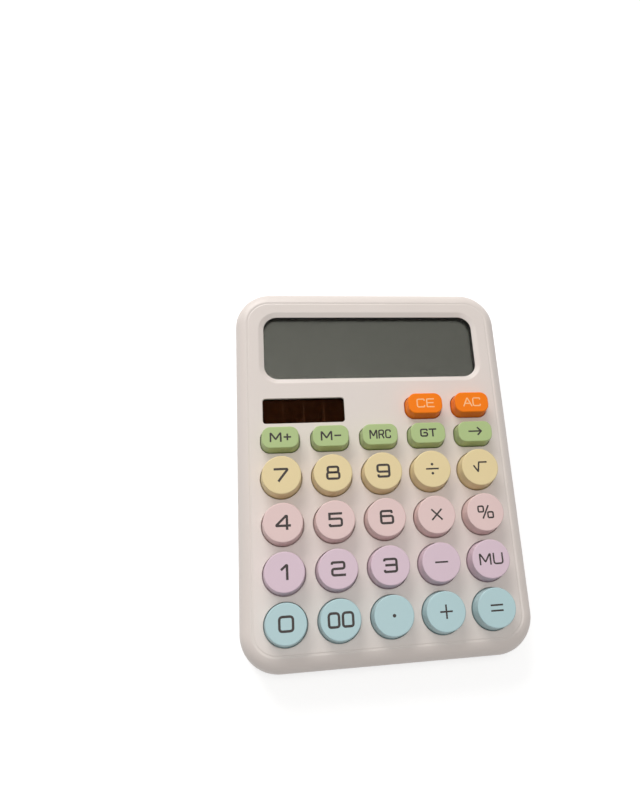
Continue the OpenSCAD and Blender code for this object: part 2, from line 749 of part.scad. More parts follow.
module solar_cover() color([0.8, 0.82, 0.85, 0.4]) on_face() translate([solar_x, cell_y, -wall])
  plate(cell_w - 2 * slide, cell_l - 2 * slide, 0.5, lens_t);

module solar_cell() color([0.14, 0.07, 0.04]) on_face()
  translate([solar_x - cell_w / 2, cell_y - cell_l / 2, -cell_bottom]) cube([cell_w, cell_l, cell_t]);

// Leads from the back of the cell straight down to the board
module solar_leads() color([0.7, 0.15, 0.1]) on_face()
  for (x = [solar_x + cell_w / 2 - 6, solar_x + cell_w / 2 - 3])
    translate([x, cell_y - 2, -board_depth + touch])
      cylinder(r = lead_r, h = board_depth - cell_bottom - 2 * touch);

// ---------------------------------------------------------------- battery

module battery() color([0.75, 0.76, 0.78]) translate([battery_x, battery_y, battery_z])
  rotate([0, 90, 0]) {
    translate([0, 0, -battery_l / 2]) cylinder(r = battery_r, h = battery_l - nub_l);
    translate([0, 0, battery_l / 2 - nub_l]) cylinder(r = nub_r, h = nub_l);
  }

// Conical coil that presses on the flat end of the battery, on its plate and tag
spring_turns = 4;
spring_coil_r = battery_r - 1.8;
spring_start = -tub_l / 2 + 0.2 + plate_t + spring_wire_r - 0.1;
spring_end = battery_x - battery_l / 2 - touch - spring_wire_r;
module battery_spring() color([0.8, 0.8, 0.82]) {
  steps = 12 * spring_turns;
  wire([
    for (i = [0 : steps]) let (s = i / steps, a = 360 * spring_turns * s,
                               r = spring_coil_r * (1 - 0.45 * s))
      [spring_start + (spring_end - spring_start) * s,
       battery_y + r * cos(a), battery_z + r * sin(a)]
  ], spring_wire_r, [1, 0, 0]);
  contact_plate(-tub_l / 2 + 0.2);
}

// A contact plate whose tag stands out through the tub's front wall
module contact_plate(x) {
  translate([x, battery_y - battery_r + 0.8, battery_z - battery_r + 1])
    cube([plate_t, 2 * battery_r - 1.6, 2 * battery_r - 2]);
  translate([x, tub_front - tag_reach, battery_z - tag_w / 2])
    cube([plate_t, battery_y - tub_front + tag_reach, tag_w]);
}

module battery_contact() color([0.8, 0.8, 0.82]) {
  x = tub_l / 2 - 0.2 - plate_t;
  contact_plate(x);
  gap = x - (battery_x + battery_l / 2) - touch;
  translate([x - gap, battery_y, battery_z]) rotate([0, 90, 0]) cylinder(r = 2.2, h = gap);
}

// Leads from the tags of the contacts forward and up to the underside of the board
lead_r = 0.5;
module battery_leads() color([0.15, 0.15, 0.15]) for (side = [-1, 1]) {
  lead_x = side * (tub_l / 2 - 0.2 - plate_t / 2);
  start_y = tub_front - tag_reach - touch;
  pad_y = board_rear - 7;
  board_y = face_y + pad_y * cos(tilt) + board_bottom * sin(tilt);
  board_z = face_z + pad_y * sin(tilt) - board_bottom * cos(tilt) - 2 * touch;
  wire([
    [lead_x, start_y, battery_z], [lead_x, start_y - 2, battery_z],
    [lead_x, (start_y + board_y) / 2 + 1, battery_z + 0.8],
    [lead_x, board_y + 2, battery_z + 2.4], [lead_x, board_y + 0.4, (battery_z + board_z) / 2 + 1],
    [lead_x, board_y, board_z - 1.5], [lead_x, board_y, board_z]
  ], lead_r, [1, 0, 0]);
}

// Sliding door: its sides carry tongues, and its rear end follows the case
module battery_door() color([0.88, 0.84, 0.81]) difference() {
  intersection() {
    union() {
      translate([-door_half_w, door_front, foot_h]) cube([2 * door_half_w, case_l, door_t]);
      translate([-door_half_w - tongue_w, door_front, foot_h + door_t / 2])
        cube([2 * (door_half_w + tongue_w), case_l, door_t / 2]);
    }
    bottom_form();
  }
  // grip ridges, cut as shallow grooves
  for (i = [0 : 4]) translate([-9 + i, door_front + 12 + 1.8 * i, foot_h - eps])
    cube([18 - 2 * i, 0.8, 0.4]);
}

// ---------------------------------------------------------------- nodes

top_case();
bottom_case();
battery_door();
case_screws();
foot(-foot_x, -foot_y);  // foot_front_left
foot(foot_x, -foot_y);  // foot_front_right
foot(-foot_x, foot_y);  // foot_rear_left
foot(foot_x, foot_y);  // foot_rear_right
keypad_sheet();
circuit_board();
contact_pads();
board_screws();
chip_cover();
capacitors();
board_chips();
display_lens();
display_gasket();
display_glass();
display_backing();
display_bracket();
bracket_screws();
display_ribbon();
solar_cover();
solar_cell();
solar_leads();
battery();
battery_spring();
battery_contact();
battery_leads();
for (k = KEYS) key(k);
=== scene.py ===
"""Looks of a desk calculator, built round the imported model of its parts.

Pieces are modelled in millimetres. Most are modelled in the face frame, with X to the right,
Y along the face towards the display and Z out of the face, and are then placed in metres.
"""

import json
import logging
import math
from collections.abc import Callable, Iterable, Sequence
from dataclasses import dataclass, field, replace
from enum import Enum

import bmesh
import bpy
from mathutils import Matrix, Vector


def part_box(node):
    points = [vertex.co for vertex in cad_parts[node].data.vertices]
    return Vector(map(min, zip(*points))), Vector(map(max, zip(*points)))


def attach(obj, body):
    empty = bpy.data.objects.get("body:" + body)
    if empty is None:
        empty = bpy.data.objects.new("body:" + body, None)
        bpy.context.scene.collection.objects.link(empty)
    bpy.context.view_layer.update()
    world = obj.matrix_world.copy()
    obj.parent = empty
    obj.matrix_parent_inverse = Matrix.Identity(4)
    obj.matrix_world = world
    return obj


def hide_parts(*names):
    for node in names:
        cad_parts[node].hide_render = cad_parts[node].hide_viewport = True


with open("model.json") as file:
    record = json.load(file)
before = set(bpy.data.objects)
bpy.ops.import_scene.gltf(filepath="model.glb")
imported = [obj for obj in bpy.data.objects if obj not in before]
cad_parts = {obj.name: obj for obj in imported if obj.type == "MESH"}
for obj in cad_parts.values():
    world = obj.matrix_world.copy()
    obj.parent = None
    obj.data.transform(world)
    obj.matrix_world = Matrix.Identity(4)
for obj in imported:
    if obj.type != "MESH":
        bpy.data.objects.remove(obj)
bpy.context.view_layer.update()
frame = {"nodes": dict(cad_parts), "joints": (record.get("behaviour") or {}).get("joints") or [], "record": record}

MM = 0.001
MERGE_MM = 0.0002
NEAR_MM = 0.01
OVER_MM = 1.0
SMOOTH_DEG = 32.0
SCREW_REACH_MM = 6.0
LEVEL = 0.9
ROW = Matrix.Scale(MM, 4)
Object = bpy.types.Object
Material = bpy.types.Material
Socket = bpy.types.NodeSocket
Element = bmesh.types.BMFace | bmesh.types.BMEdge
Ring = tuple[float, float]
Colour = tuple[int, int, int]

log = logging.getLogger("calculator")


# ---------------------------------------------------------------- workshop


def deselect() -> None:
    """Leaves nothing selected."""
    if bpy.context.object and bpy.context.object.mode != "OBJECT":
        bpy.ops.object.mode_set(mode="OBJECT")
    bpy.ops.object.select_all(action="DESELECT")


def pick(*pieces: Object) -> None:
    """Selects only these pieces and makes the first one active.

    Args:
        pieces: The pieces to select.
    """
    deselect()
    for piece in pieces:
        piece.select_set(True)
    bpy.context.view_layer.objects.active = pieces[0]


def edit(piece: Object) -> None:
    """Opens a piece in edit mode with all of it selected.

    Args:
        piece: The piece.
    """
    pick(piece)
    bpy.ops.object.mode_set(mode="EDIT")
    bpy.ops.mesh.select_all(action="SELECT")


class Part(Enum):
    """What of a mesh is selected."""

    FACE = "faces"
    EDGE = "edges"


def select(piece: Object, part: Part, wanted: Callable[[Element], bool]) -> None:
    """Selects the faces or the edges of the piece in edit mode that pass a test.

    Args:
        piece: The piece in edit mode.
        part: Faces or edges.
        wanted: Says of each whether it is to be selected.
    """
    bpy.ops.mesh.select_mode(type=part.name)
    mesh = bmesh.from_edit_mesh(piece.data)
    for element in getattr(mesh, part.value):
        element.select_set(wanted(element))
    bmesh.update_edit_mesh(piece.data)


def open_end(piece: Object, sign: int) -> None:
    """Opens a piece in edit mode with only the level faces at one end selected.

    Args:
        piece: The piece, in object mode.
        sign: 1 for the upper end, -1 for the lower.
    """
    end = max(sign * v.co.z for v in piece.data.vertices) - NEAR_MM
    edit(piece)
    select(piece, Part.FACE,
           lambda f: sign * f.normal.z > LEVEL and sign * f.calc_center_median().z > end)


def close_up(piece: Object) -> Object:
    """Merges doubles, turns the normals outwards and leaves edit mode.

    Args:
        piece: A closed piece in edit mode.

    Returns:
        The same piece.
    """
    bpy.ops.mesh.select_all(action="SELECT")
    bpy.ops.mesh.remove_doubles(threshold=MERGE_MM)
    bpy.ops.mesh.normals_make_consistent(inside=False)
    bpy.ops.object.mode_set(mode="OBJECT")
    return piece


@dataclass(frozen=True)
class Outline:
    """A rectangle with round corners, in millimetres."""

    width: float
    length: float
    radius: float
    steps: int = 12

    def grown(self, by: float) -> "Outline":
        """Returns the outline moved outwards by a distance."""
        return Outline(self.width + 2 * by, self.length + 2 * by, self.radius + by, self.steps)

    def add(self, name: str, at: Vector) -> Object:
        """Adds the outline as one face, selected in edit mode.

        Args:
            name: Name of the new piece.
            at: Middle of the face.

        Returns:
            The new piece, in edit mode.
        """
        deselect()
        bpy.ops.mesh.primitive_plane_add(size=1.0, location=at)
        piece = bpy.context.object
        piece.name = name
        piece.scale = (self.width, self.length, 1.0)
        bpy.ops.object.transform_apply(location=True, rotation=True, scale=True)
        edit(piece)
        bpy.ops.mesh.bevel(offset=self.radius, segments=self.steps, affect="VERTICES")
        bpy.ops.mesh.select_all(action="SELECT")
        return piece


@dataclass(frozen=True)
class Round:
    """A circle, in millimetres."""

    radius: float
    sides: int = 64

    def grown(self, by: float) -> "Round":
        """Returns the circle moved outwards by a distance."""
        return Round(self.radius + by, self.sides)

    def add(self, name: str, at: Vector) -> Object:
        """Adds the circle as one face, selected in edit mode.

        Args:
            name: Name of the new piece.
            at: Middle of the face.

        Returns:
            The new piece, in edit mode.
        """
        deselect()
        bpy.ops.mesh.primitive_circle_add(
            vertices=self.sides, radius=self.radius, fill_type="NGON", location=at
        )
        piece = bpy.context.object
        piece.name = name
        bpy.ops.object.transform_apply(location=True, rotation=True, scale=True)
        edit(piece)
        return piece


def climb(
    rings: Iterable[Ring], inset: float, height: float, side: float = 1.0, half: float = 1.0
) -> None:
    """Draws the selected face along rings of (inset from the outline, height).

    Args:
        rings: The rings, each at least as far in as the one before it.
        inset: Inset of the selected face.
        height: Height of the selected face.
        side: Share of each inset that is kept at the left and right.
        half: Half the width of the selected face, where the share isn't 1.
    """
    for next_inset, next_height in rings:
        step = next_inset - inset
        if step > MERGE_MM:
            bpy.ops.mesh.inset(thickness=step, depth=0.0)
        else:
            bpy.ops.mesh.extrude_region_move()
        if side != 1.0:
            wider = (half - side * step) / (half - step)
            bpy.ops.transform.resize(value=(wider, 1.0, 1.0), center_override=(0.0, 0.0, 0.0))
            half -= side * step
        bpy.ops.transform.translate(value=(0.0, 0.0, next_height - height))
        inset, height = next_inset, next_height


def turned(
    name: str, outline: Outline | Round, rings: Sequence[Ring], at: Sequence[float] = (0.0, 0.0)
) -> Object:
    """Makes a closed solid whose section steps in along rings of (inset, height).

    Args:
        name: Name of the new piece.
        outline: The outline at the first ring.
        rings: The rings. The first two have no inset.
        at: X and Y of the middle.

    Returns:
        The new piece, in object mode.
    """
    start = rings[0][1]
    piece = outline.add(name, Vector((at[0], at[1], start)))
    climb(rings[1:], 0.0, start)
    return close_up(piece)


class Joining(Enum):
    """How a tool acts on a piece."""

    CUT = "DIFFERENCE"
    ADD = "UNION"
    KEEP = "INTERSECT"


def work(piece: Object, tool: Object, joining: Joining = Joining.CUT) -> Object:
    """Cuts, adds or keeps what a tool covers, and removes the tool.

    Args:
        piece: The piece to change.
        tool: A closed solid.
        joining: What the tool does.

    Returns:
        The same piece.
    """
    pick(piece)
    bpy.ops.object.modifier_add(type="BOOLEAN")
    modifier = piece.modifiers[-1]
    modifier.operation = joining.value
    modifier.object = tool
    modifier.solver = "EXACT"
    bpy.ops.object.modifier_apply(modifier=modifier.name)
    bpy.data.objects.remove(tool)
    return piece


def joined(name: str, pieces: Sequence[Object]) -> Object:
    """Joins pieces that lie apart into one.

    Args:
        name: Name of the joined piece.
        pieces: The pieces.

    Returns:
        The joined piece.
    """
    pick(*pieces)
    if len(pieces) > 1:
        bpy.ops.object.join()
    pieces[0].name = name
    return pieces[0]


def copied(piece: Object, name: str) -> Object:
    """Copies a piece.

    Args:
        piece: The piece.
        name: Name of the copy.

    Returns:
        The copy, with a mesh of its own.
    """
    twin = piece.copy()
    twin.data = piece.data.copy()
    twin.name = name
    twin.data.name = name
    bpy.context.scene.collection.objects.link(twin)
    return twin


def box(name: str, low: Sequence[float], high: Sequence[float], bevel: float = 0.0) -> Object:
    """Makes a block between two corners, with bevelled edges if asked.

    Args:
        name: Name of the new piece.
        low: Lowest corner.
        high: Highest corner.
        bevel: Width of the bevel on every edge.

    Returns:
        The new piece, in object mode.
    """
    deselect()
    middle = [(a + b) / 2 for a, b in zip(low, high)]
    bpy.ops.mesh.primitive_cube_add(size=1.0, location=middle)
    piece = bpy.context.object
    piece.name = name
    piece.scale = [b - a for a, b in zip(low, high)]
    bpy.ops.object.transform_apply(location=True, rotation=True, scale=True)
    if bevel > 0.0:
        edit(piece)
        bpy.ops.mesh.bevel(offset=bevel, segments=2, affect="EDGES")
        close_up(piece)
    return piece


def placed(
    piece: Object, matrix: Matrix, smooth_deg: float = SMOOTH_DEG, weigh: bool = False
) -> Object:
    """Moves a finished piece's mesh to its place and smooths its round surfaces.

    Args:
        piece: The piece, in object mode.
        matrix: From the frame it was modelled in to the row frame in metres.
        smooth_deg: Edges sharper than this stay sharp.
        weigh: Whether large faces hold their normals flat.

    Returns:
        The same piece.
    """
    piece.data.transform(matrix)
    piece.matrix_world = Matrix.Identity(4)
    pick(piece)
    bpy.ops.object.shade_smooth_by_angle(angle=math.radians(smooth_deg))
    if weigh:
        bpy.ops.object.modifier_add(type="WEIGHTED_NORMAL")
        modifier = piece.modifiers[-1]
        modifier.keep_sharp = True
        modifier.weight = 100
        bpy.ops.object.modifier_apply(modifier=modifier.name)
    deselect()
    return piece


def soften(piece: Object, wanted: Callable[[Element], bool], width: float) -> Object:
    """Rounds the edges of a piece that pass a test.

    Args:
        piece: The piece, in object mode.
        wanted: Says of an edge whether it is rounded.
        width: How wide.

    Returns:
        The same piece, in object mode.
    """
    edit(piece)
    select(piece, Part.EDGE, wanted)
    bpy.ops.mesh.bevel(offset=width, segments=2, affect="EDGES")
    return close_up(piece)


def quarter(width: float, drop: float, steps: int, reach_deg: float = 90.0) -> list[Ring]:
    """Returns the rings of a quarter of an ellipse, from its foot to its top.

    Args:
        width: How far it goes in.
        drop: How far it rises. A negative drop sinks.
        steps: Number of rings after the foot.
        reach_deg: How far round it goes. Under 90 degrees its top is still sloped.

    Returns:
        The rings, without the foot.
    """
    reach = math.radians(reach_deg)
    wide, high = width / (1 - math.cos(reach)), drop / math.sin(reach)
    angles = [reach * i / steps for i in range(1, steps + 1)]
    return [(wide * (1 - math.cos(a)), high * math.sin(a)) for a in angles]


def hole_rings(edge: float, curve: Sequence[Ring], depth: float) -> list[Ring]:
    """Returns the rings of a cutter that opens the face with a rounded edge.

    Args:
        edge: Width of the rounded edge.
        curve: Its rings of (inset, depth), as shares of the width.
        depth: Depth of the cutter's end.

    Returns:
        The rings, from above the face down.
    """
    rounded = [(inset * edge, -sunk * edge) for inset, sunk in curve]
    return [(0.0, 0.5), (0.0, 0.02), *rounded, (edge, -depth)]


def corners(node: str) -> tuple[Vector, Vector]:
    """Returns a CAD node's lowest and highest corners in the row frame, in millimetres."""
    low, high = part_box(node)
    return Vector(low) / MM, Vector(high) / MM


# ---------------------------------------------------------------- face frame


@dataclass(frozen=True)
class FaceFrame:
    """Place of the leaning face in the row frame."""

    tilt: float
    centre: Vector

    @classmethod
    def measured(cls) -> "FaceFrame":
        """Finds the lean from a key's joint and the face from the upper case.

        Returns:
            The face frame.
        """
        axis = next(j["axis"] for j in frame["joints"] if j["name"].startswith("press_"))
        tilt = math.atan2(axis[1], -axis[2])
        level = Matrix.Rotation(-tilt, 4, "X")
        points = [level @ v.co for v in frame["nodes"]["top_case"].data.vertices]
        middle = (min(p.y for p in points) + max(p.y for p in points)) / 2
        centre = Matrix.Rotation(tilt, 4, "X") @ Vector((0.0, middle, max(p.z for p in points)))
        return cls(tilt, centre)

    @property
    def matrix(self) -> Matrix:
        """From the face frame in millimetres to the row frame in metres."""
        turn = Matrix.Rotation(self.tilt, 4, "X")
        return Matrix.Translation(self.centre) @ turn @ Matrix.Scale(MM, 4)

    def span(self, node: str) -> tuple[Vector, Vector]:
        """Gives a CAD node's lowest and highest corners in the face frame.

        Args:
            node: Name of the node.

        Returns:
            The two corners, in millimetres.
        """
        back = self.matrix.inverted()
        points = [back @ v.co for v in frame["nodes"][node].data.vertices]
        low = Vector([min(p[i] for p in points) for i in range(3)])
        high = Vector([max(p[i] for p in points) for i in range(3)])
        return low, high

    def middle(self, node: str) -> Vector:
        """Gives the middle of a CAD node in the face frame, in millimetres."""
        low, high = self.span(node)
        return (low + high) / 2

    def outline(self, node: str, corner: float, steps: int, slack: float = 0.0) -> Outline:
        """Gives a CAD node's outline on the face.

        Args:
            node: Name of the node.
            corner: Radius of its corners.
            steps: Parts of each corner.
            slack: How far it is grown on every side.

        Returns:
            The outline.
        """
        low, high = self.span(node)
        return Outline(high.x - low.x + 2 * slack, high.y - low.y + 2 * slack, corner, steps)

    def screws(self, node: str) -> list[Vector]:
        """Finds the screws of a CAD node that holds several.

        Args:
            node: Name of the node.

        Returns:
            The middle of each screw in the face frame, in millimetres.
        """
        back = self.matrix.inverted()
        places: list[list[Vector]] = []
        for vertex in frame["nodes"][node].data.vertices:
            point = back @ vertex.co
            near = next((p for p in places if (p[0].xy - point.xy).length < SCREW_REACH_MM), None)
            if near is None:
                places.append([point])
            else:
                near.append(point)
        spans = [[(min(q[i] for q in p), max(q[i] for q in p)) for i in range(3)] for p in places]
        return [Vector([(low + high) / 2 for low, high in span]) for span in spans]


# ---------------------------------------------------------------- finishes


def linear(red: int, green: int, blue: int) -> tuple[float, ...]:
    """Turns a display colour into the linear colour that shaders take.

    Args:
        red: Red, from 0 to 255.
        green: Green.
        blue: Blue.

    Returns:
        The linear colour with an alpha of 1.
    """
    shares = [value / 255 for value in (red, green, blue)]
    return (*(s / 12.92 if s <= 0.04045 else ((s + 0.055) / 1.055) ** 2.4 for s in shares), 1.0)


def shaded(colour: Sequence[float], by: float) -> tuple[float, ...]:
    """Returns a linear colour made darker or lighter, at most white."""
    return (*(min(1.0, channel * by) for channel in colour[:3]), 1.0)


class Graph:
    """A node tree that is drawn with a few short calls."""

    def __init__(self, tree: bpy.types.NodeTree) -> None:
        """Starts on an empty tree.

        Args:
            tree: The tree to draw in.
        """
        self.tree = tree
        tree.nodes.clear()

    def feed(self, socket: Socket, value: object) -> None:
        """Links an input to an output, or gives it a value of its own.

        Args:
            socket: The input.
            value: An output socket, a number or a colour.
        """
        if isinstance(value, Socket):
            self.tree.links.new(value, socket)
        else:
            socket.default_value = value

    def node(self, kind: str, *first: object, **values: object) -> bpy.types.Node:
        """Adds a node and feeds its inputs or sets its settings.

        Args:
            kind: The node's type name without the word ShaderNode.
            first: What its first inputs take, in their order.
            values: Inputs by name with _ for a space, or settings by their own name.

        Returns:
            The node.
        """
        made = self.tree.nodes.new(("" if kind.startswith("Node") else "ShaderNode") + kind)
        for name, value in values.items():
            if hasattr(made, name):
                setattr(made, name, value)
            else:
                self.feed(made.inputs[name.replace("_", " ")], value)
        for socket, value in zip(made.inputs, first):
            self.feed(socket, value)
        return made

    def maths(self, operation: str, *values: object) -> Socket:
        """Adds a Math node and returns its output."""
        return self.node("Math", *values, operation=operation).outputs[0]

    def mixed(self, share: object, first: object, second: object) -> Socket:
        """Adds a colour mix.

        Args:
            share: The second colour's share.
            first: A socket or a colour.
            second: A socket or a colour.

        Returns:
            The mixed colour.
        """
        made = self.node("Mix", share, data_type="RGBA")
        self.feed(made.inputs[6], first)
        self.feed(made.inputs[7], second)
        return made.outputs[2]


def new_group(name: str, inputs: dict[str, float], *outputs: str) -> Graph:
    """Starts a shader node group with named number sockets.

    Args:
        name: Name of the group.
        inputs: Input names and their first values.
        outputs: Output names.

    Returns:
        The group's graph.
    """
    tree = bpy.data.node_groups.new(name, "ShaderNodeTree")
    for label, value in inputs.items():
        socket = tree.interface.new_socket(label, in_out="INPUT", socket_type="NodeSocketFloat")
        socket.default_value = value
    for label in outputs:
        tree.interface.new_socket(label, in_out="OUTPUT", socket_type="NodeSocketFloat")
    return Graph(tree)


def new_material(name: str) -> tuple[Material, Graph]:
    """Starts a material.

    Args:
        name: Name of the material.

    Returns:
        The material and its empty graph.
    """
    made = bpy.data.materials.new(name)
    made.use_nodes = True
    return made, Graph(made.node_tree)


class Effects:
    """The surface effects that the finishes share, each built once."""

    def __init__(self) -> None:
        """Builds the groups."""
        self.grain = self._grain()
        # edges: mask of the painted highlight laid on every edge
        self.edges = self._edges()
        self.dust = self._dust()

    @staticmethod
    def _grain() -> bpy.types.NodeTree:
        """Draws the moulded grain: a fine height and a slow drift of tone.

        Returns:
            The group.
        """
        graph = new_group("moulded_grain", {"Scale": 3000.0}, "Height", "Tone")
        scale = graph.node("NodeGroupInput").outputs["Scale"]
        place = graph.node("TexCoord").outputs["Object"]
        fine = graph.node("TexNoise", Vector=place, Scale=scale, Detail=2.0, Roughness=0.6)
        slow = graph.node("TexNoise", Vector=place, Scale=45.0, Detail=3.0)
        graph.node("NodeGroupOutput", Height=fine.outputs["Fac"], Tone=slow.outputs["Fac"])
        return graph.tree

    @staticmethod
    def _edges() -> bpy.types.NodeTree:
        """Draws the mask of the edges that get a painted highlight, a lighter colour.

        Returns:
            The group.
        """
        graph = new_group("handled_edges", {"Radius": 0.0004, "Gain": 2.0}, "Mask")
        given = graph.node("NodeGroupInput").outputs
        soft = graph.node("Bevel", samples=4, Radius=given["Radius"]).outputs["Normal"]
        flat = graph.node("NewGeometry").outputs["Normal"]
        along = graph.node("VectorMath", soft, flat, operation="DOT_PRODUCT").outputs["Value"]
        gained = graph.maths("MULTIPLY", graph.maths("SUBTRACT", 1.0, along), given["Gain"])
        graph.node("NodeGroupOutput", Mask=graph.node("Clamp", Value=gained).outputs["Result"])
        return graph.tree

    @staticmethod
    def _dust() -> bpy.types.NodeTree:
        """Draws the mask of dust that settles on what faces up.

        Returns:
            The group.
        """
        graph = new_group("settled_dust", {"Amount": 0.05}, "Mask")
        given = graph.node("NodeGroupInput").outputs
        place = graph.node("TexCoord").outputs["Object"]
        specks = graph.node("TexNoise", Vector=place, Scale=420.0, Detail=4.0).outputs["Fac"]
        up = graph.node("SeparateXYZ", graph.node("NewGeometry").outputs["Normal"]).outputs["Z"]
        speckled = graph.maths("MULTIPLY", specks, graph.maths("MAXIMUM", up, 0.0))
        graph.node("NodeGroupOutput", Mask=graph.maths("MULTIPLY", speckled, given["Amount"]))
        return graph.tree


@dataclass(frozen=True)
class Bands:
    """Thin lines across a surface, evenly spaced along X in the row frame, in metres."""

    middle: float
    spacing: float = 0.0086
    width: float = 0.0003
    colour: Colour = (52, 32, 20)

    def over(self, graph: Graph, colour: Socket) -> Socket:
        """Lays the lines over a colour.

        Args:
            graph: The material's graph.
            colour: The colour below.

        Returns:
            The colour with the lines.
        """
        place = graph.node("SeparateXYZ", graph.node("TexCoord").outputs["Object"])
        along = graph.maths("SUBTRACT", place.outputs["X"], self.middle)
        away = graph.maths("PINGPONG", along, self.spacing / 2)
        line = graph.maths("LESS_THAN", away, self.width / 2)
        return graph.mixed(line, colour, linear(*self.colour))


@dataclass(frozen=True)
class Finish:
    """One surface: its colour, gloss, grain, dust and a painted highlight on its edges."""

    name: str
    colour: Colour
    roughness: float = 0.5
    metallic: float = 0.0
    specular: float = 0.5
    coat: float = 0.0
    coat_roughness: float = 0.15
    grain: float = 3000.0
    relief: float = 0.00001
    relief_strength: float = 0.6
    drift: float = 0.04
    spread: float = 0.16
    # lighter colour painted on the edges as a highlight
    edge: Colour | None = None
    dust: float = 0.04
    dust_colour: Colour = (196, 190, 182)
    bands: Bands | None = None

    def material(self, effects: Effects) -> Material:
        """Builds the material.

        Args:
            effects: The shared groups.

        Returns:
            The material.
        """
        made, graph = new_material(self.name)
        grain = graph.node("Group", node_tree=effects.grain, Scale=self.grain).outputs
        base = linear(*self.colour)
        dark, light = shaded(base, 1 - self.drift), shaded(base, 1 + self.drift)
        colour = graph.mixed(grain["Tone"], dark, light)
        if self.bands:
            colour = self.bands.over(graph, colour)
        # painted highlight: the edges take the lighter edge colour
        if self.edge:
            edges = graph.node("Group", node_tree=effects.edges)
            colour = graph.mixed(edges.outputs["Mask"], colour, linear(*self.edge))
        dust = graph.node("Group", node_tree=effects.dust, Amount=self.dust).outputs["Mask"]
        colour = graph.mixed(dust, colour, linear(*self.dust_colour))
        least = self.roughness - self.spread / 2
        rough = graph.maths("MULTIPLY_ADD", grain["Tone"], self.spread, least)
        bump = graph.node(
            "Bump", Strength=self.relief_strength, Distance=self.relief, Height=grain["Height"]
        )
        shader = graph.node(
            "BsdfPrincipled", Metallic=self.metallic, Specular_IOR_Level=self.specular,
            Coat_Weight=self.coat, Coat_Roughness=self.coat_roughness, Base_Color=colour,
            Roughness=graph.maths("ADD", rough, dust), Normal=bump.outputs["Normal"],
        )
        graph.node("OutputMaterial", shader.outputs[0])
        return made


@dataclass(frozen=True)
class ClearFinish:
    """Clear acrylic that lets the lamps through to what it covers."""

    name: str
    colour: Colour = (250, 252, 252)
    ior: float = 1.045
    roughness: float = 0.01
    haze: float = 0.01
    grain: float = 300.0
    wear: float = 0.03

    def material(self, effects: Effects) -> Material:
        """Builds the material.

        Args:
            effects: The shared groups.

        Returns:
            The material.
        """
        made, graph = new_material(self.name)
        tone = graph.node("Group", node_tree=effects.grain, Scale=self.grain).outputs["Tone"]
        base = linear(*self.colour)
        glass = graph.node(
            "BsdfPrincipled", IOR=self.ior, Transmission_Weight=1.0,
            Base_Color=graph.mixed(tone, base, shaded(base, 1 - self.wear)),
            Roughness=graph.maths("MULTIPLY_ADD", tone, self.haze, self.roughness),
        )
        unseen = graph.maths("LESS_THAN", graph.node("LightPath").outputs["Is Camera Ray"], 0.5)
        open_path = graph.node("BsdfTransparent")
        chooser = graph.node("MixShader", unseen, glass.outputs[0], open_path.outputs[0])
        graph.node("OutputMaterial", chooser.outputs[0])
        return made


def key_finish(
    name: str, colour: Colour, edge: Colour, dust: float = 0.01, specular: float = 0.5
) -> Finish:
    """Returns the satin finish of a key's plastic.

    Args:
        name: Name of the colour.
        colour: The colour.
        edge: The lighter colour painted on its edges as a highlight.
        dust: How much dust lies on it.
        specular: Strength of its gloss.

    Returns:
        The finish.
    """
    return Finish(f"key_{name}_plastic", colour, 0.46, specular=specular, edge=edge, dust=dust)


class Slot(Enum):
    """The record's material slots and the finish of each."""

    # the case's edge colour is a painted highlight, lighter than its plastic
    CASE = Finish("case_plastic", (222, 212, 206), 0.38, relief=0.000008,
                  edge=(232, 225, 220), drift=0.02)
    SCREW = Finish("screw_steel", (168, 170, 174), 0.32, metallic=1.0, grain=5000.0)
    FOOT = Finish("foot_rubber", (34, 34, 35), 0.75, relief=0.00003, dust=0.2)
    SHEET = Finish("keypad_rubber", (214, 214, 208), 0.62)
    BOARD = Finish("board_laminate", (28, 84, 52), 0.35, coat=0.3, drift=0.2)
    CARBON = Finish("contact_carbon", (30, 30, 32), 0.6)
    RESIN = Finish("chip_resin", (16, 16, 17), 0.22, coat=0.4)
    SLEEVE = Finish("capacitor_sleeve", (34, 44, 84), 0.3, coat=0.3)
    CLEAR = ClearFinish("clear_lens")
    FOAM = Finish("gasket_foam", (44, 42, 39), 0.85, grain=2200.0, relief=0.00006)
    DISPLAY = Finish("display_glass", (87, 87, 81), 0.26, metallic=1.0, drift=0.02,
                     grain=300.0, relief=0.000001, spread=0.02, dust=0.0)
    BACKING = Finish("backing_plastic", (212, 212, 206))
    RIBBON = Finish("ribbon_film", (182, 116, 42), 0.25, coat=0.3)
    SOLAR = Finish("solar_glass", (25, 9, 3), 0.26, metallic=1.0,
                   grain=300.0, relief=0.000001, spread=0.02, dust=0.0)
    LEAD = Finish("lead_insulation", (40, 34, 34), 0.4)
    BATTERY = Finish("battery_can", (176, 178, 182), 0.3, metallic=1.0)
    CONTACT = Finish("contact_steel", (196, 197, 200), 0.25, metallic=1.0)
    # each key's second colour is a painted highlight on its edges
    BLUE = key_finish("blue", (175, 204, 208), (190, 214, 218))
    VIOLET = key_finish("violet", (214, 190, 203), (224, 204, 215))
    PINK = key_finish("pink", (224, 196, 193), (234, 209, 205))
    YELLOW = key_finish("yellow", (228, 208, 158), (236, 220, 182))
    GREEN = key_finish("green", (170, 190, 129), (190, 209, 154), 0.0)
    ORANGE = key_finish("orange", (250, 128, 18), (255, 140, 40), 0.0, 0.15)
    DARK_INK = Finish("legend_dark_ink", (50, 43, 41), specular=0.3, dust=0.0)
    PALE_INK = Finish("legend_pale_ink", (255, 196, 142), specular=0.3, dust=0.0)


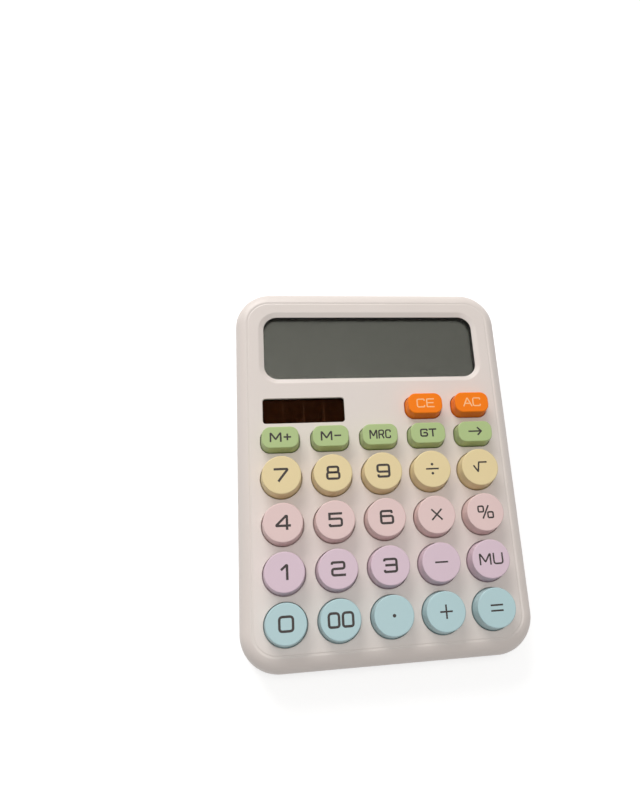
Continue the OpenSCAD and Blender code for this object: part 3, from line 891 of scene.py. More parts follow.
class Wardrobe:
    """Dresses pieces and keeps one material for each slot."""

    def __init__(self) -> None:
        """Builds the shared effects and finds where the solar cell's lines run."""
        self.effects = Effects()
        self.made: dict[Slot, Material] = {}
        low, high = (Vector(corner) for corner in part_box("solar_cell"))
        self.lined = {Slot.SOLAR: Bands((low.x + high.x) / 2)}

    def dress(self, piece: Object, slot: Slot) -> None:
        """Gives a piece or a CAD node the slot's material.

        Args:
            piece: The piece.
            slot: The slot.
        """
        if slot not in self.made:
            finish = slot.value
            if slot in self.lined:
                finish = replace(finish, bands=self.lined[slot])
            self.made[slot] = finish.material(self.effects)
        worn = piece.data.materials
        for index in range(len(worn)):
            worn[index] = self.made[slot]
        if not worn:
            worn.append(self.made[slot])

    def dress_nodes(self) -> None:
        """Gives every CAD node its slot's finish, for those whose shape stays."""
        by_name = {slot.value.name: slot for slot in Slot}
        for part in frame["record"]["subparts"]:
            node = frame["nodes"][part["node"]]
            self.dress(node, by_name[part["material_slot"]])
            log.info("%s wears %s", node.name, part["material_slot"])

    def hand_over(self, piece: Object, slot: Slot, body: str, *nodes: str) -> None:
        """Dresses a new piece and says what it rides on and stands for.

        Args:
            piece: The finished piece.
            slot: Its slot.
            body: The body it rides on.
            nodes: The CAD nodes it stands for.
        """
        self.dress(piece, slot)
        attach(piece, body)
        if nodes:
            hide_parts(*nodes)
        log.info("%s rides on %s, %d faces", piece.name, body, len(piece.data.polygons))


# ---------------------------------------------------------------- case


@dataclass
class CaseForm:
    """Sizes that the two shells share, in millimetres."""

    width: float = 117.0
    length: float = 160.0
    corner: float = 15.5
    wall: float = 2.0
    split: float = 9.0
    skirt: float = 1.5
    hook_place: float = 36.0
    joint_gap: float = 0.02
    joint_round: float = 0.2

    @property
    def outline(self) -> Outline:
        """The outline of the case at the joint."""
        return Outline(self.width, self.length, self.corner, 20)


@dataclass
class UpperShell:
    """The upper case: a flat face with a round rim, the windows and the key holes."""

    face: FaceFrame
    wardrobe: Wardrobe
    form: CaseForm = field(default_factory=CaseForm)
    rim_width: float = 5.5
    side_share: float = 4.3 / 5.5
    rim_drop: float = 6.0
    rim_steps: int = 8
    rim_reach_deg: float = 78.0
    groove: tuple[Ring, ...] = (
        (0.26, -0.02), (0.52, -0.07), (0.72, -0.105), (0.86, -0.115), (0.98, -0.1),
        (1.14, -0.05), (1.3, -0.01), (1.46, 0.0),
    )
    key_gap: float = 0.3
    draft: float = 0.35
    hole_edge: float = 0.22
    hole_curve: tuple[Ring, ...] = ((0.35, 0.15), (0.75, 0.5), (1.0, 1.1))
    window: Outline = Outline(93.5, 29.0, 6.0, 12)
    slope: tuple[Ring, ...] = (
        (0.0, 0.5), (0.0, 0.01), (0.25, -0.03), (0.55, -0.12), (1.9, -0.68), (2.2, -0.77),
        (2.36, -0.84), (2.4, -0.92), (2.4, -3.0),
    )
    solar_window: Outline = Outline(34.2, 11.0, 1.3, 8)
    solar_shift: float = -0.4
    solar_edge: float = 0.2
    solar_curve: tuple[Ring, ...] = ((0.4, 0.1), (0.8, 0.5), (1.0, 1.2))
    opening_depth: float = 3.0
    seat_slack: float = 0.05
    seat_depth: float = 1.05
    rib_slack: float = 0.2
    rib_corner: float = 0.5
    rib_setback: float = 0.15
    glass_rib: float = 1.2
    cell_rib: float = 0.8
    cell_rib_depth: float = 3.75
    board_depth: float = 7.5
    board_post: float = 2.25
    case_post: float = 2.5
    bracket_post: float = 2.1
    bracket_depth: float = 6.4
    pilot: float = 1.2
    ledge_half: float = 5.0
    ledge_reach: float = 3.0
    ledge_low: float = -8.3
    ledge_top: float = -7.3

    def build(self) -> Object:
        """Models the shell and hands it over.

        Returns:
            The shell.
        """
        rim = quarter(self.rim_width, self.rim_drop, self.rim_steps, self.rim_reach_deg)
        shell = self._domed("upper_shell", 0.0, self.form.split, rim, self.side_share)
        open_end(shell, 1)
        climb([(self.rim_width + inset, height) for inset, height in self.groove],
              self.rim_width, 0.0)
        close_up(shell)
        joint = NEAR_MM - self.form.split
        soften(shell, lambda edge: all(v.co.z < joint for v in edge.verts), self.form.joint_round)
        work(shell, self._hollow())
        work(shell, self._key_holes())
        seat = self.face.outline("display_lens", self.window.radius, 8, self.seat_slack)
        self._window(shell, "display_lens", self.window, self.slope, seat)
        glass = self.face.outline("display_glass", self.rib_corner, 3, self.rib_slack)
        rings = [(0, -self.bracket_depth), (0, -self.form.wall)]
        work(shell, turned("pocket", glass, rings, self.face.middle("display_glass")))
        seat = self.face.outline("solar_cover", self.rib_corner, 3, self.seat_slack)
        rings = hole_rings(self.solar_edge, self.solar_curve, self.opening_depth)
        self._window(shell, "solar_cover", self.solar_window, rings, seat, self.solar_shift)
        work(shell, self._pilots())
        placed(shell, self.face.matrix, weigh=True)
        self.wardrobe.hand_over(shell, Slot.CASE, "case", "top_case")
        return shell

    def _domed(
        self, name: str, inset: float, depth: float, rim: Sequence[Ring], side: float
    ) -> Object:
        """Makes a solid under the face whose upper edge is rounded as the rim is.

        Args:
            name: Name of the solid.
            inset: How far its sides and its top lie inside the shell's.
            depth: Depth of its lower end below the face.
            rim: Rings of the rounding, from its foot.
            side: Share of the rim's width at the left and right.

        Returns:
            The solid, in object mode.
        """
        solid = self.form.outline.grown(-inset).add(name, Vector((0.0, 0.0, -depth)))
        climb([(0.0, -self.rim_drop)], 0.0, -depth)
        rings = [(step, rise - self.rim_drop) for step, rise in rim]
        climb(rings, 0.0, -self.rim_drop, side, self.form.width / 2 - inset)
        return close_up(solid)

    def _posts(self) -> list[tuple[Vector, float, float]]:
        """Finds the posts from the screws.

        Returns:
            The place, radius and depth of each.
        """
        kinds = (
            ("board_screws", self.board_post, self.board_depth),
            ("case_screws", self.case_post, self.form.split),
            ("bracket_screws", self.bracket_post, self.bracket_depth),
        )
        return [
            (middle, radius, depth)
            for node, radius, depth in kinds for middle in self.face.screws(node)
        ]

    def _hollow(self) -> Object:
        """Makes the hollow of the shell, less its posts, ribs and ledges.

        Returns:
            The cutter.
        """
        wall = self.form.wall
        rim = quarter(self.rim_width, self.rim_drop - wall, self.rim_steps)
        hollow = self._domed("hollow", wall, self.form.split + OVER_MM, rim, 1.0)
        root = 0.5 - wall
        posts = [
            turned("post", Round(radius, 32), [(0, -depth), (0, root)], middle)
            for middle, radius, depth in self._posts()
        ]
        work(hollow, joined("posts", posts))
        for node, thick, depth in (
            ("display_glass", self.glass_rib, self.bracket_depth - self.rib_setback),
            ("solar_cell", self.cell_rib, self.cell_rib_depth),
        ):
            inner = self.face.outline(node, self.rib_corner, 3, self.rib_slack)
            at = self.face.middle(node)
            ring = turned("rib", inner.grown(thick), [(0, -depth), (0, root)], at)
            work(ring, turned("room", inner, [(0, -depth - OVER_MM), (0, -OVER_MM)], at))
            work(hollow, ring)
        for side in (-1, 1):
            x, rear = side * self.form.hook_place, self.form.length / 2
            low = (x - self.ledge_half, rear - self.ledge_reach, self.ledge_low)
            work(hollow, box("ledge", low, (x + self.ledge_half, rear - 1.0, self.ledge_top)))
        return hollow

    def _key_holes(self) -> Object:
        """Makes the cutters of the key holes, each with a softened upper edge.

        Returns:
            The cutters.
        """
        rings = hole_rings(self.hole_edge, self.hole_curve, self.opening_depth)
        grow = self.draft + self.key_gap + self.hole_edge
        return joined("holes", [
            turned("hole", key.cap.outline.grown(grow), rings, self.face.middle(key.node))
            for key in KEYS
        ])

    def _window(
        self, shell: Object, node: str, window: Outline, rings: Sequence[Ring], seat: Outline,
        shift: float = 0.0
    ) -> None:
        """Cuts a window and the seat of its cover.

        Args:
            shell: The shell.
            node: The cover's node.
            window: The window where it is narrowest.
            rings: Rings of the window's cutter, from above the face down.
            seat: Outline of the seat.
            shift: How far along Y both lie from the cover's middle.
        """
        at = self.face.middle(node) + Vector((0.0, shift, 0.0))
        work(shell, turned("window", window.grown(rings[-1][0]), rings, at))
        work(shell, turned("seat", seat, [(0, -self.opening_depth), (0, -self.seat_depth)], at))

    def _pilots(self) -> Object:
        """Makes the cutters of the screws' pilot holes.

        Returns:
            The cutters.
        """
        holes = []
        for middle, _, depth in self._posts():
            top = -self.form.wall if depth < self.form.split else -self.opening_depth
            rings = [(0, -depth - OVER_MM), (0, top)]
            holes.append(turned("pilot", Round(self.pilot, 20), rings, middle))
        return joined("pilots", holes)


@dataclass
class LowerShell:
    """The lower case: a wedge with a rounded base, screw wells and the battery's room."""

    face: FaceFrame
    wardrobe: Wardrobe
    form: CaseForm = field(default_factory=CaseForm)
    base: float = 1.5
    base_inset: float = 3.5
    base_round: float = 2.5
    round_steps: int = 8
    lip_edge: float = 0.3
    lip_height: float = 1.5
    lip_gap: float = 0.15
    lip_thickness: float = 0.9
    lip_drop: float = 0.2
    hook_half: float = 4.0
    hook_setback: float = 1.1
    hook_thickness: float = 1.0
    hook_end: float = -5.3
    hook_bevel: float = 0.2
    barb_reach: float = 0.8
    barb_low: float = -7.1
    barb_top: float = -6.2
    barb_bevel: float = 0.3
    root_reach: float = 0.6
    root_height: float = 0.3
    seat_depth: float = 11.5
    well: float = 3.0
    well_wall: float = 1.2
    post_reach: float = 50.0
    well_reach: float = 60.0
    clearance: float = 1.3
    clearance_span: tuple[float, float] = (-19.0, -7.0)
    tub_wall: float = 1.2
    tub_slack: tuple[float, float, float] = (0.2, 0.6, 0.4)
    door_gap: float = 0.15
    door_wing: float = 1.25
    door_floor: float = 2.25
    door_ceiling: float = 3.5
    tag_size: tuple[float, float] = (1.0, 2.2)
    tag_low: float = 7.0
    tag_top: float = 11.2
    pad_margin: float = 1.5
    pad_top: float = 5.1
    pocket: float = 5.05
    pocket_top: float = 2.3

    @property
    def leaning(self) -> Matrix:
        """From the face frame to the row frame, both in millimetres."""
        return Matrix.Scale(1 / MM, 4) @ self.face.matrix

    def leaned(self, piece: Object) -> Object:
        """Leans a piece modelled in the face frame into the row frame."""
        piece.data.transform(self.leaning)
        return piece

    def wedge(self, name: str, outline: Outline, top: float, foot: float) -> Object:
        """Makes a wedge from a leaning plane down to a level base with a round edge.

        Args:
            name: Name of the piece.
            outline: The outline at the top.
            top: Depth of the top below the face.
            foot: Height of the level base.

        Returns:
            The wedge, in the row frame in millimetres.
        """
        piece = outline.add(name, Vector((0.0, 0.0, -top)))
        bpy.ops.object.mode_set(mode="OBJECT")
        edit(self.leaned(piece))
        skirt = self.leaning.to_3x3() @ Vector((0.0, 0.0, top - self.form.split - self.form.skirt))
        bpy.ops.mesh.extrude_region_move()
        bpy.ops.transform.translate(value=skirt)
        inset = self.base_inset - self.base_round
        bpy.ops.mesh.inset(thickness=inset, depth=0.0)
        chosen = [v.co for v in bmesh.from_edit_mesh(piece.data).verts if v.select]
        middle = sum(chosen, Vector()) / len(chosen)
        level = foot + self.base_round
        span = max(c.y for c in chosen) - min(c.y for c in chosen)
        stretch = (outline.length - 2 * inset) / span
        bpy.ops.transform.resize(value=(1.0, stretch, 0.0), center_override=middle)
        bpy.ops.transform.translate(value=(0.0, -middle.y, level - middle.z))
        reached = 0.0
        for step_in, drop in quarter(self.base_round, -self.base_round, self.round_steps):
            bpy.ops.mesh.inset(thickness=step_in - reached, depth=0.0)
            height = next(v.co.z for v in bmesh.from_edit_mesh(piece.data).verts if v.select)
            bpy.ops.transform.translate(value=(0.0, 0.0, level + drop - height))
            reached = step_in
        return close_up(piece)

    def outer(self, name: str) -> Object:
        """Returns the outer form of the shell, in the row frame in millimetres."""
        top = self.form.split + self.form.joint_gap
        return self.wedge(name, self.form.outline, top, self.base)

    def build(self) -> Object:
        """Models the shell and hands it over.

        Returns:
            The shell.
        """
        shell = self.outer("lower_shell")
        back = self.leaning.inverted()
        top = -self.form.split - self.form.joint_gap - NEAR_MM
        soften(shell, lambda edge: all((back @ v.co).z > top for v in edge.verts),
               self.form.joint_round)
        work(shell, self._hollow())
        work(shell, self._lip(), Joining.ADD)
        work(shell, self._hooks(), Joining.ADD)
        work(shell, self._wells())
        work(shell, self._battery_room())
        rings = [(0, self.base - OVER_MM), (0, self.pocket_top)]
        pockets = [
            turned("pocket", Round(self.pocket, 48), rings, (low + high) / 2)
            for low, high in (corners(node) for node in frame["nodes"] if node.startswith("foot_"))
        ]
        work(shell, joined("pockets", pockets))
        placed(shell, ROW, weigh=True)
        self.wardrobe.hand_over(shell, Slot.CASE, "case", "bottom_case")
        return shell

    def _hollow(self) -> Object:
        """Makes the hollow of the shell, less its posts, battery block and door pad.

        Returns:
            The cutter.
        """
        wall, split = self.form.wall, self.form.split
        hollow = self.wedge("hollow", self.form.outline.grown(-wall), split - 1.0, self.base + wall)
        post = Round(self.well + self.well_wall, 40)
        posts = [
            self.leaned(turned("post", post, [(0, -self.post_reach), (0, -split)], middle))
            for middle in self.face.screws("case_screws")
        ]
        work(hollow, joined("posts", posts))
        low, high = self._tub()
        thick = Vector.Fill(3, self.tub_wall)
        low = (low.x - self.tub_wall, low.y - self.tub_wall, self.base)
        work(hollow, box("block", low, high + thick))
        low, high = corners("battery_door")
        margin = self.pad_margin
        low = (low.x - margin, low.y - margin, self.base)
        return work(hollow, box("pad", low, (high.x + margin, self.form.length, self.pad_top)))

    def _tub(self) -> tuple[Vector, Vector]:
        """Finds the battery tub's room from the battery and its contacts.

        Returns:
            Its lowest and highest corners, in millimetres.
        """
        low, high = corners("battery")
        ends = [end.x for node in ("battery_spring", "battery_contact") for end in corners(node)]
        across, along, above = self.tub_slack
        return (Vector((min(ends) - across, low.y - along, self.base)),
                Vector((max(ends) + across, high.y + along, high.z + above)))

    def _lip(self) -> Object:
        """Makes the lip that enters the upper shell.

        Returns:
            The lip, in the row frame in millimetres.
        """
        split, wall, edge = self.form.split, self.form.wall, self.lip_edge
        foot, inset = -split - self.lip_drop, edge + self.lip_gap
        lip = turned("lip", self.form.outline.grown(edge - wall),
                     [(0, foot - 1.0), (0, foot), (inset, foot),
                      (inset, self.lip_height - split - edge),
                      (inset + edge, self.lip_height - split)])
        room = self.form.outline.grown(-wall - self.lip_gap - self.lip_thickness)
        work(lip, turned("room", room, [(0, -split - 2.0), (0, 3.0 - split)]))
        return self.leaned(lip)

    def _hooks(self) -> Object:
        """Makes the two hooks at the rear, just inside the lip.

        Returns:
            The hooks, in the row frame in millimetres.
        """
        rear = self.form.length / 2 - self.form.wall - self.hook_setback
        foot, thick = -self.form.split - OVER_MM, self.hook_thickness
        hooks = []
        for side in (-1, 1):
            x = side * self.form.hook_place
            blocks = [
                box(name, (x - self.hook_half, rear - behind, low),
                    (x + self.hook_half, rear + reach, high), bevel)
                for name, behind, reach, low, high, bevel in (
                    ("hook", thick, 0.0, foot, self.hook_end, self.hook_bevel),
                    ("barb", thick / 2, self.barb_reach, self.barb_low, self.barb_top,
                     self.barb_bevel),
                    ("root", thick / 2, self.root_reach, foot,
                     self.root_height - self.form.split, 0.0),
                )
            ]
            for block in blocks[1:]:
                work(blocks[0], block, Joining.ADD)
            hooks.append(blocks[0])
        return self.leaned(joined("hooks", hooks))

    def _wells(self) -> Object:
        """Makes the cutters of the screw wells and their clearance holes.

        Returns:
            The cutters, in the row frame in millimetres.
        """
        wells = []
        for middle in self.face.screws("case_screws"):
            rings = [(0, -self.well_reach), (0, -self.seat_depth)]
            well = turned("well", Round(self.well, 40), rings, middle)
            rings = [(0, height) for height in self.clearance_span]
            hole = turned("hole", Round(self.clearance, 24), rings, middle)
            wells.append(work(well, hole, Joining.ADD))
        return self.leaned(joined("wells", wells))

    def _battery_room(self) -> Object:
        """Makes the cutter of the door's slot and of the battery tub.

        Returns:
            The cutter, in the row frame in millimetres.
        """
        low, high = corners("battery_door")
        rear, top, gap, wing = self.form.length, self.door_ceiling, self.door_gap, self.door_wing
        slot = box("slot", (low.x + wing, low.y - gap, self.base - OVER_MM),
                   (high.x - wing, rear, top))
        wings = box("wings", (low.x - gap, low.y - gap, self.door_floor), (high.x + gap, rear, top))
        work(slot, wings, Joining.ADD)
        low, high = self._tub()
        work(slot, box("tub", low, high), Joining.ADD)
        thick, reach = self.tag_size
        for x in (low.x, high.x - thick):
            end = (x + thick, low.y + OVER_MM, self.tag_top)
            work(slot, box("tag", (x, low.y - reach, self.tag_low), end), Joining.ADD)
        return slot


@dataclass
class BatteryDoor:
    """The sliding door: a plate with tongues at its sides and a ribbed thumb grip."""

    shell: LowerShell
    tongue: float = 1.4
    front_round: float = 0.25
    grooves: int = 5
    groove_width: float = 0.8
    groove_depth: float = 0.4
    groove_bevel: float = 0.12
    groove_pitch: float = 1.8
    grip_half: float = 9.0
    grip_front: float = 12.0
    arrow_radius: float = 2.2
    arrow_gap: float = 2.7
    arrow_depth: float = 0.3

    def build(self) -> Object:
        """Models the door and hands it over.

        Returns:
            The door.
        """
        low, high = corners("battery_door")
        rear, middle = self.shell.form.length, (low.z + high.z) / 2
        door = box("sliding_door", (low.x + self.tongue, low.y, low.z),
                   (high.x - self.tongue, rear, high.z))
        work(door, box("tongues", (low.x, low.y, middle), (high.x, rear, high.z)), Joining.ADD)
        work(door, self.shell.outer("wedge"), Joining.KEEP)
        front, floor = low.y + NEAR_MM, low.z + NEAR_MM
        soften(door, lambda e: all(v.co.z < floor and v.co.y < front for v in e.verts),
               self.front_round)
        cutters = []
        y = low.y + self.grip_front
        for index in range(self.grooves):
            half, start = self.grip_half - index, y + self.groove_pitch * index
            end = (half, start + self.groove_width, low.z + self.groove_depth)
            cutters.append(box("groove", (-half, start, low.z - OVER_MM), end, self.groove_bevel))
        work(door, joined("grooves", cutters))
        work(door, self._arrow(y + self.groove_pitch * self.grooves + self.arrow_gap, low.z))
        placed(door, ROW, weigh=True)
        self.shell.wardrobe.hand_over(door, Slot.CASE, "battery_door", "battery_door")
        return door

    def _arrow(self, y: float, floor: float) -> Object:
        """Makes the cutter of a small sunk triangle that points where the door slides.

        Args:
            y: Its middle.
            floor: Height of the door's underside.

        Returns:
            The cutter.
        """
        deselect()
        bpy.ops.mesh.primitive_circle_add(vertices=3, radius=self.arrow_radius, fill_type="NGON",
                                          location=(0.0, y, floor - 0.5))
        arrow = bpy.context.object
        bpy.ops.object.transform_apply(location=True, rotation=True, scale=True)
        edit(arrow)
        climb([(0.0, floor + self.arrow_depth)], 0.0, floor - 0.5)
        return close_up(arrow)


@dataclass
class Feet:
    """Four rubber feet in pockets of the lower shell."""

    wardrobe: Wardrobe
    radius: float = 5.0
    edge: float = 0.4

    def build(self) -> None:
        """Models a foot in each place and hands it over."""
        rounded = [(inset, self.edge - rise) for inset, rise in quarter(self.edge, self.edge, 4)]
        for node in [n for n in frame["nodes"] if n.startswith("foot_")]:
            low, high = corners(node)
            rings = [(0, high.z), (0, self.edge), *rounded]
            foot = turned("pad_" + node, Round(self.radius, 48), rings, (low + high) / 2)
            self.wardrobe.hand_over(placed(foot, ROW), Slot.FOOT, "case", node)


@dataclass
class PowerCell:
    """The battery with its crimped ends."""

    wardrobe: Wardrobe
    nub: float = 1.9
    nub_length: float = 0.8
    nub_round: float = 0.2
    crimp: float = 0.5
    dish: tuple[Ring, ...] = ((0.15, 0.2), (0.5, 0.0), (0.9, 0.1), (1.2, 0.1))

    def build(self) -> None:
        """Models the battery and hands it over."""
        low, high = corners("battery")
        length, radius = high.x - low.x, (high.z - low.z) / 2
        shoulder, crimp, inset = length - self.nub_length, self.crimp, radius - self.nub
        rings = [(0, crimp), (0, shoulder - crimp), (0.15, shoulder - 0.2), (crimp, shoulder),
                 (inset - 0.6, shoulder), (inset, shoulder + 0.05),
                 (inset, length - self.nub_round), (inset + self.nub_round, length)]
        cell = turned("power_cell", Round(radius, 64), rings)
        open_end(cell, -1)
        climb(self.dish, 0.0, crimp)
        close_up(cell)
        lying = Matrix.Translation((low.x, (low.y + high.y) / 2, (low.z + high.z) / 2))
        cell.data.transform(lying @ Matrix.Rotation(math.pi / 2, 4, "Y"))
        self.wardrobe.hand_over(placed(cell, ROW), Slot.BATTERY, "case", "battery")


# ---------------------------------------------------------------- display and solar cell


@dataclass
class Windows:
    """The clear covers and the solar cell behind one of them."""

    face: FaceFrame
    wardrobe: Wardrobe
    lens_corner: float = 5.9
    cover_corner: float = 0.45
    cell_corner: float = 0.3
    edge: float = 0.12
    edge_share: float = 0.3

    def build(self) -> None:
        """Models the covers and the cell's panel and hands them over."""
        self._plate("clear_window", "display_lens", self.lens_corner, Slot.CLEAR)
        self._plate("clear_cover", "solar_cover", self.cover_corner, Slot.CLEAR)
        self._plate("solar_panel", "solar_cell", self.cell_corner, Slot.SOLAR)

    def _plate(self, name: str, node: str, corner: float, slot: Slot) -> None:
        """Models a flat plate with softened edges in a node's place.

        Args:
            name: Name of the piece.
            node: The CAD node that it stands for.
            corner: Radius of its corners.
            slot: Its slot.
        """
        low, high = (end.z for end in self.face.span(node))
        edge, part = self.edge, self.edge_share * self.edge
        rings = [(0, low + edge), (0, high - edge), (part, high - part), (edge, high)]
        middle = self.face.middle(node)
        piece = turned(name, self.face.outline(node, corner, 10), rings, middle)
        open_end(piece, -1)
        climb([(part, low + part), (edge, low)], 0.0, low + edge)
        close_up(piece)
        placed(piece, self.face.matrix, weigh=True)
        self.wardrobe.hand_over(piece, slot, "case", node)


# ---------------------------------------------------------------- keys and their legends


class Cap(Enum):
    """The two key shapes, each by the outline of its top and its height above the face."""

    ROUND = (Round(7.8, 72), 6.95)
    OVAL = (Outline(14.8, 9.0, 3.4, 12), 5.95)

    @property
    def outline(self) -> Outline | Round:
        """The outline of the top."""
        return self.value[0]

    @property
    def height(self) -> float:
        """The height of the top above the face."""
        return self.value[1]


Stroke = tuple[tuple[float, float], ...]


@dataclass(frozen=True)
class Sign:
    """One sign as strokes in a box from (0, 0) to (1, 1), with its size in millimetres."""

    width: float
    height: float
    strokes: tuple[Stroke, ...]
    corner: float = 0.9
    dots: Stroke = ()
    dot: float = 0.55


def loop(left: float, low: float, right: float, high: float) -> Stroke:
    """Returns a closed box stroke, begun in the middle of its lower side."""
    middle = (left + right) / 2
    return ((middle, low), (right, low), (right, high), (left, high), (left, low), (middle, low))


def letter_c(end: float) -> Stroke:
    """Returns the stroke of a C whose ends reach in by a share of its height."""
    return ((1, 1 - end), (1, 1), (0, 1), (0, 0), (1, 0), (1, end))


def letter_m(flat: float, dip: float) -> Stroke:
    """Returns the stroke of an M from the width of its flat tops and the height of its dip."""
    return ((0, 0), (0, 1), (flat, 1), (0.5, dip), (1 - flat, 1), (1, 1), (1, 0))


STRAIGHT_RAD = 0.02
CORNER_SHARE = 0.48
BOLD, FINE = (0.95, 0.55), (0.68, 0.7)
DASH = ((0, 0.5), (1, 0.5))
UPRIGHT = ((0.5, 0), (0.5, 1))


class Signs(Enum):
    """The signs on the keys."""

    ZERO = Sign(6.0, 6.2, (loop(0, 0, 1, 1),), 1.3)
    SLIM_ZERO = Sign(4.8, 6.0, (loop(0, 0, 1, 1),), 1.3)
    ONE = Sign(2.9, 6.0, (((0, 0.72), (0.85, 1), (1, 1), (1, 0)),), 0.3)
    TWO = Sign(5.7, 5.8, (((0, 0.93), (0, 1), (1, 1), (1, 0.5), (0, 0.5), (0, 0), (1, 0)),))
    THREE = Sign(5.7, 5.8, (((0, 0.93), (0, 1), (1, 1), (1, 0), (0, 0), (0, 0.07)),
                            ((0.15, 0.52), (0.98, 0.52))))
    FOUR = Sign(6.0, 5.9, (((0.8, 0), (0.8, 1), (0.72, 1), (0, 0.3), (0, 0.24), (1, 0.24)),), 0.4)
    FIVE = Sign(5.7, 5.8, (((0.96, 1), (0, 1)), ((0, 1), (0, 0.58)),
                           ((0, 0.58), (1, 0.58), (1, 0), (0, 0), (0, 0.08))))
    SIX = Sign(5.7, 5.8, (((0.92, 0.9), (0.92, 1), (0, 1), (0, 0), (1, 0), (1, 0.58),
                           (0.05, 0.58)),))
    SEVEN = Sign(6.1, 5.6, (((0, 1), (1, 1), (0.3, 0)),), 0.35)
    EIGHT = Sign(5.8, 5.8, (loop(0, 0, 1, 0.53), loop(0.06, 0.53, 0.94, 1)))
    NINE = Sign(5.7, 5.8, (((0.05, 0.1), (0.05, 0), (1, 0), (1, 1), (0, 1), (0, 0.42),
                            (0.95, 0.42)),))
    POINT = Sign(1.4, 1.4, (), dots=((0.5, 0.5),), dot=0.68)
    PLUS = Sign(5.0, 5.4, (DASH, UPRIGHT))
    MINUS = Sign(5.3, 0.7, (DASH,))
    EQUALS = Sign(5.1, 2.8, (((0, 1), (1, 1)), ((0, 0), (1, 0))))
    TIMES = Sign(4.5, 4.6, (((0, 0), (1, 1)), ((0, 1), (1, 0))))
    DIVIDE = Sign(5.4, 4.7, (DASH,), dots=((0.5, 0.98), (0.5, 0.02)), dot=0.56)
    ROOT = Sign(6.0, 4.7, (((0, 0.62), (0.3, 0), (0.42, 1), (1, 1)),), 0.1)
    PERCENT = Sign(6.8, 5.5, (loop(0, 0.52, 0.36, 1), loop(0.64, 0, 1, 0.48),
                              ((0.3, 0), (0.7, 1))), 0.55)
    ARROW = Sign(6.0, 3.6, (((0, 0.5), (0.96, 0.5)), ((0.72, 1), (1, 0.5), (0.72, 0))), 0.1)
    M = Sign(4.8, 4.0, (letter_m(0.06, 0.22),), 0.2)
    SMALL_M = Sign(3.4, 3.9, (letter_m(0.08, 0.25),), 0.2)
    SMALL_PLUS = Sign(3.0, 2.8, (DASH, UPRIGHT))
    SMALL_MINUS = Sign(2.8, 0.6, (DASH,))
    R = Sign(2.5, 3.9, (((0, 0), (0, 1), (1, 1), (1, 0.46), (0.02, 0.46)),
                        ((0.62, 0.46), (1, 0))), 0.6)
    C = Sign(2.5, 3.9, (letter_c(0.2),), 0.7)
    G = Sign(3.5, 3.6, (((0.96, 0.85), (0.96, 1), (0, 1), (0, 0), (0.98, 0), (0.98, 0.5),
                         (0.52, 0.5)),), 0.7)
    T = Sign(3.3, 3.6, (((0, 1), (1, 1)), ((0.5, 0), (0.5, 0.98))))
    WIDE_C = Sign(3.6, 4.0, (letter_c(0.15),), 0.8)
    E = Sign(3.4, 4.0, (((1, 1), (0, 1), (0, 0), (1, 0)), ((0.05, 0.52), (0.9, 0.52))), 0.35)
    A = Sign(4.0, 4.0, (((0, 0), (0.47, 1), (0.53, 1), (1, 0)), ((0.2, 0.32), (0.8, 0.32))), 0.2)
    WIDE_M = Sign(5.0, 4.6, (letter_m(0.06, 0.22),), 0.2)
    U = Sign(4.3, 4.6, (((0, 1), (0, 0), (1, 0), (1, 1)),), 1.0)


@dataclass(frozen=True)
class Key:
    """One key: its CAD node, shape, finish and legend."""

    node: str
    cap: Cap
    slot: Slot
    signs: tuple[Signs, ...]
    stroke: float
    spacing: float

    @property
    def label(self) -> str:
        """The node's name without its first word."""
        return self.node.removeprefix("key_")


def row(slot: Slot, legends: dict[str, tuple[Signs, ...]]) -> list[Key]:
    """Lists the round keys of one colour: numbers in bold strokes and actions in fine ones.

    Args:
        slot: Their finish.
        legends: Each key's signs, by its label.

    Returns:
        The keys.
    """
    return [
        Key("key_" + label, Cap.ROUND, slot, signs, *(BOLD if label.isdigit() else FINE))
        for label, signs in legends.items()
    ]


def oval(label: str, slot: Slot, *signs: Signs, stroke: float = 0.7, gap: float = 0.65) -> Key:
    """Returns an oval key."""
    return Key("key_" + label, Cap.OVAL, slot, signs, stroke, gap)


KEYS = (
    *row(Slot.BLUE, {
        "0": (Signs.ZERO,), "00": (Signs.SLIM_ZERO, Signs.SLIM_ZERO), "point": (Signs.POINT,),
        "plus": (Signs.PLUS,), "equals": (Signs.EQUALS,),
    }),
    *row(Slot.VIOLET, {
        "1": (Signs.ONE,), "2": (Signs.TWO,), "3": (Signs.THREE,), "minus": (Signs.MINUS,),
        "markup": (Signs.WIDE_M, Signs.U),
    }),
    *row(Slot.PINK, {
        "4": (Signs.FOUR,), "5": (Signs.FIVE,), "6": (Signs.SIX,), "multiply": (Signs.TIMES,),
        "percent": (Signs.PERCENT,),
    }),
    *row(Slot.YELLOW, {
        "7": (Signs.SEVEN,), "8": (Signs.EIGHT,), "9": (Signs.NINE,), "divide": (Signs.DIVIDE,),
        "root": (Signs.ROOT,),
    }),
    oval("memory_plus", Slot.GREEN, Signs.M, Signs.SMALL_PLUS, gap=0.8),
    oval("memory_minus", Slot.GREEN, Signs.M, Signs.SMALL_MINUS, gap=0.8),
    oval("memory_recall", Slot.GREEN, Signs.SMALL_M, Signs.R, Signs.C, stroke=0.6, gap=0.35),
    oval("grand_total", Slot.GREEN, Signs.G, Signs.T, gap=0.3),
    oval("backspace", Slot.GREEN, Signs.ARROW),
    oval("clear_entry", Slot.ORANGE, Signs.WIDE_C, Signs.E, stroke=0.5),
    oval("all_clear", Slot.ORANGE, Signs.A, Signs.WIDE_C, stroke=0.5, gap=0.2),
)


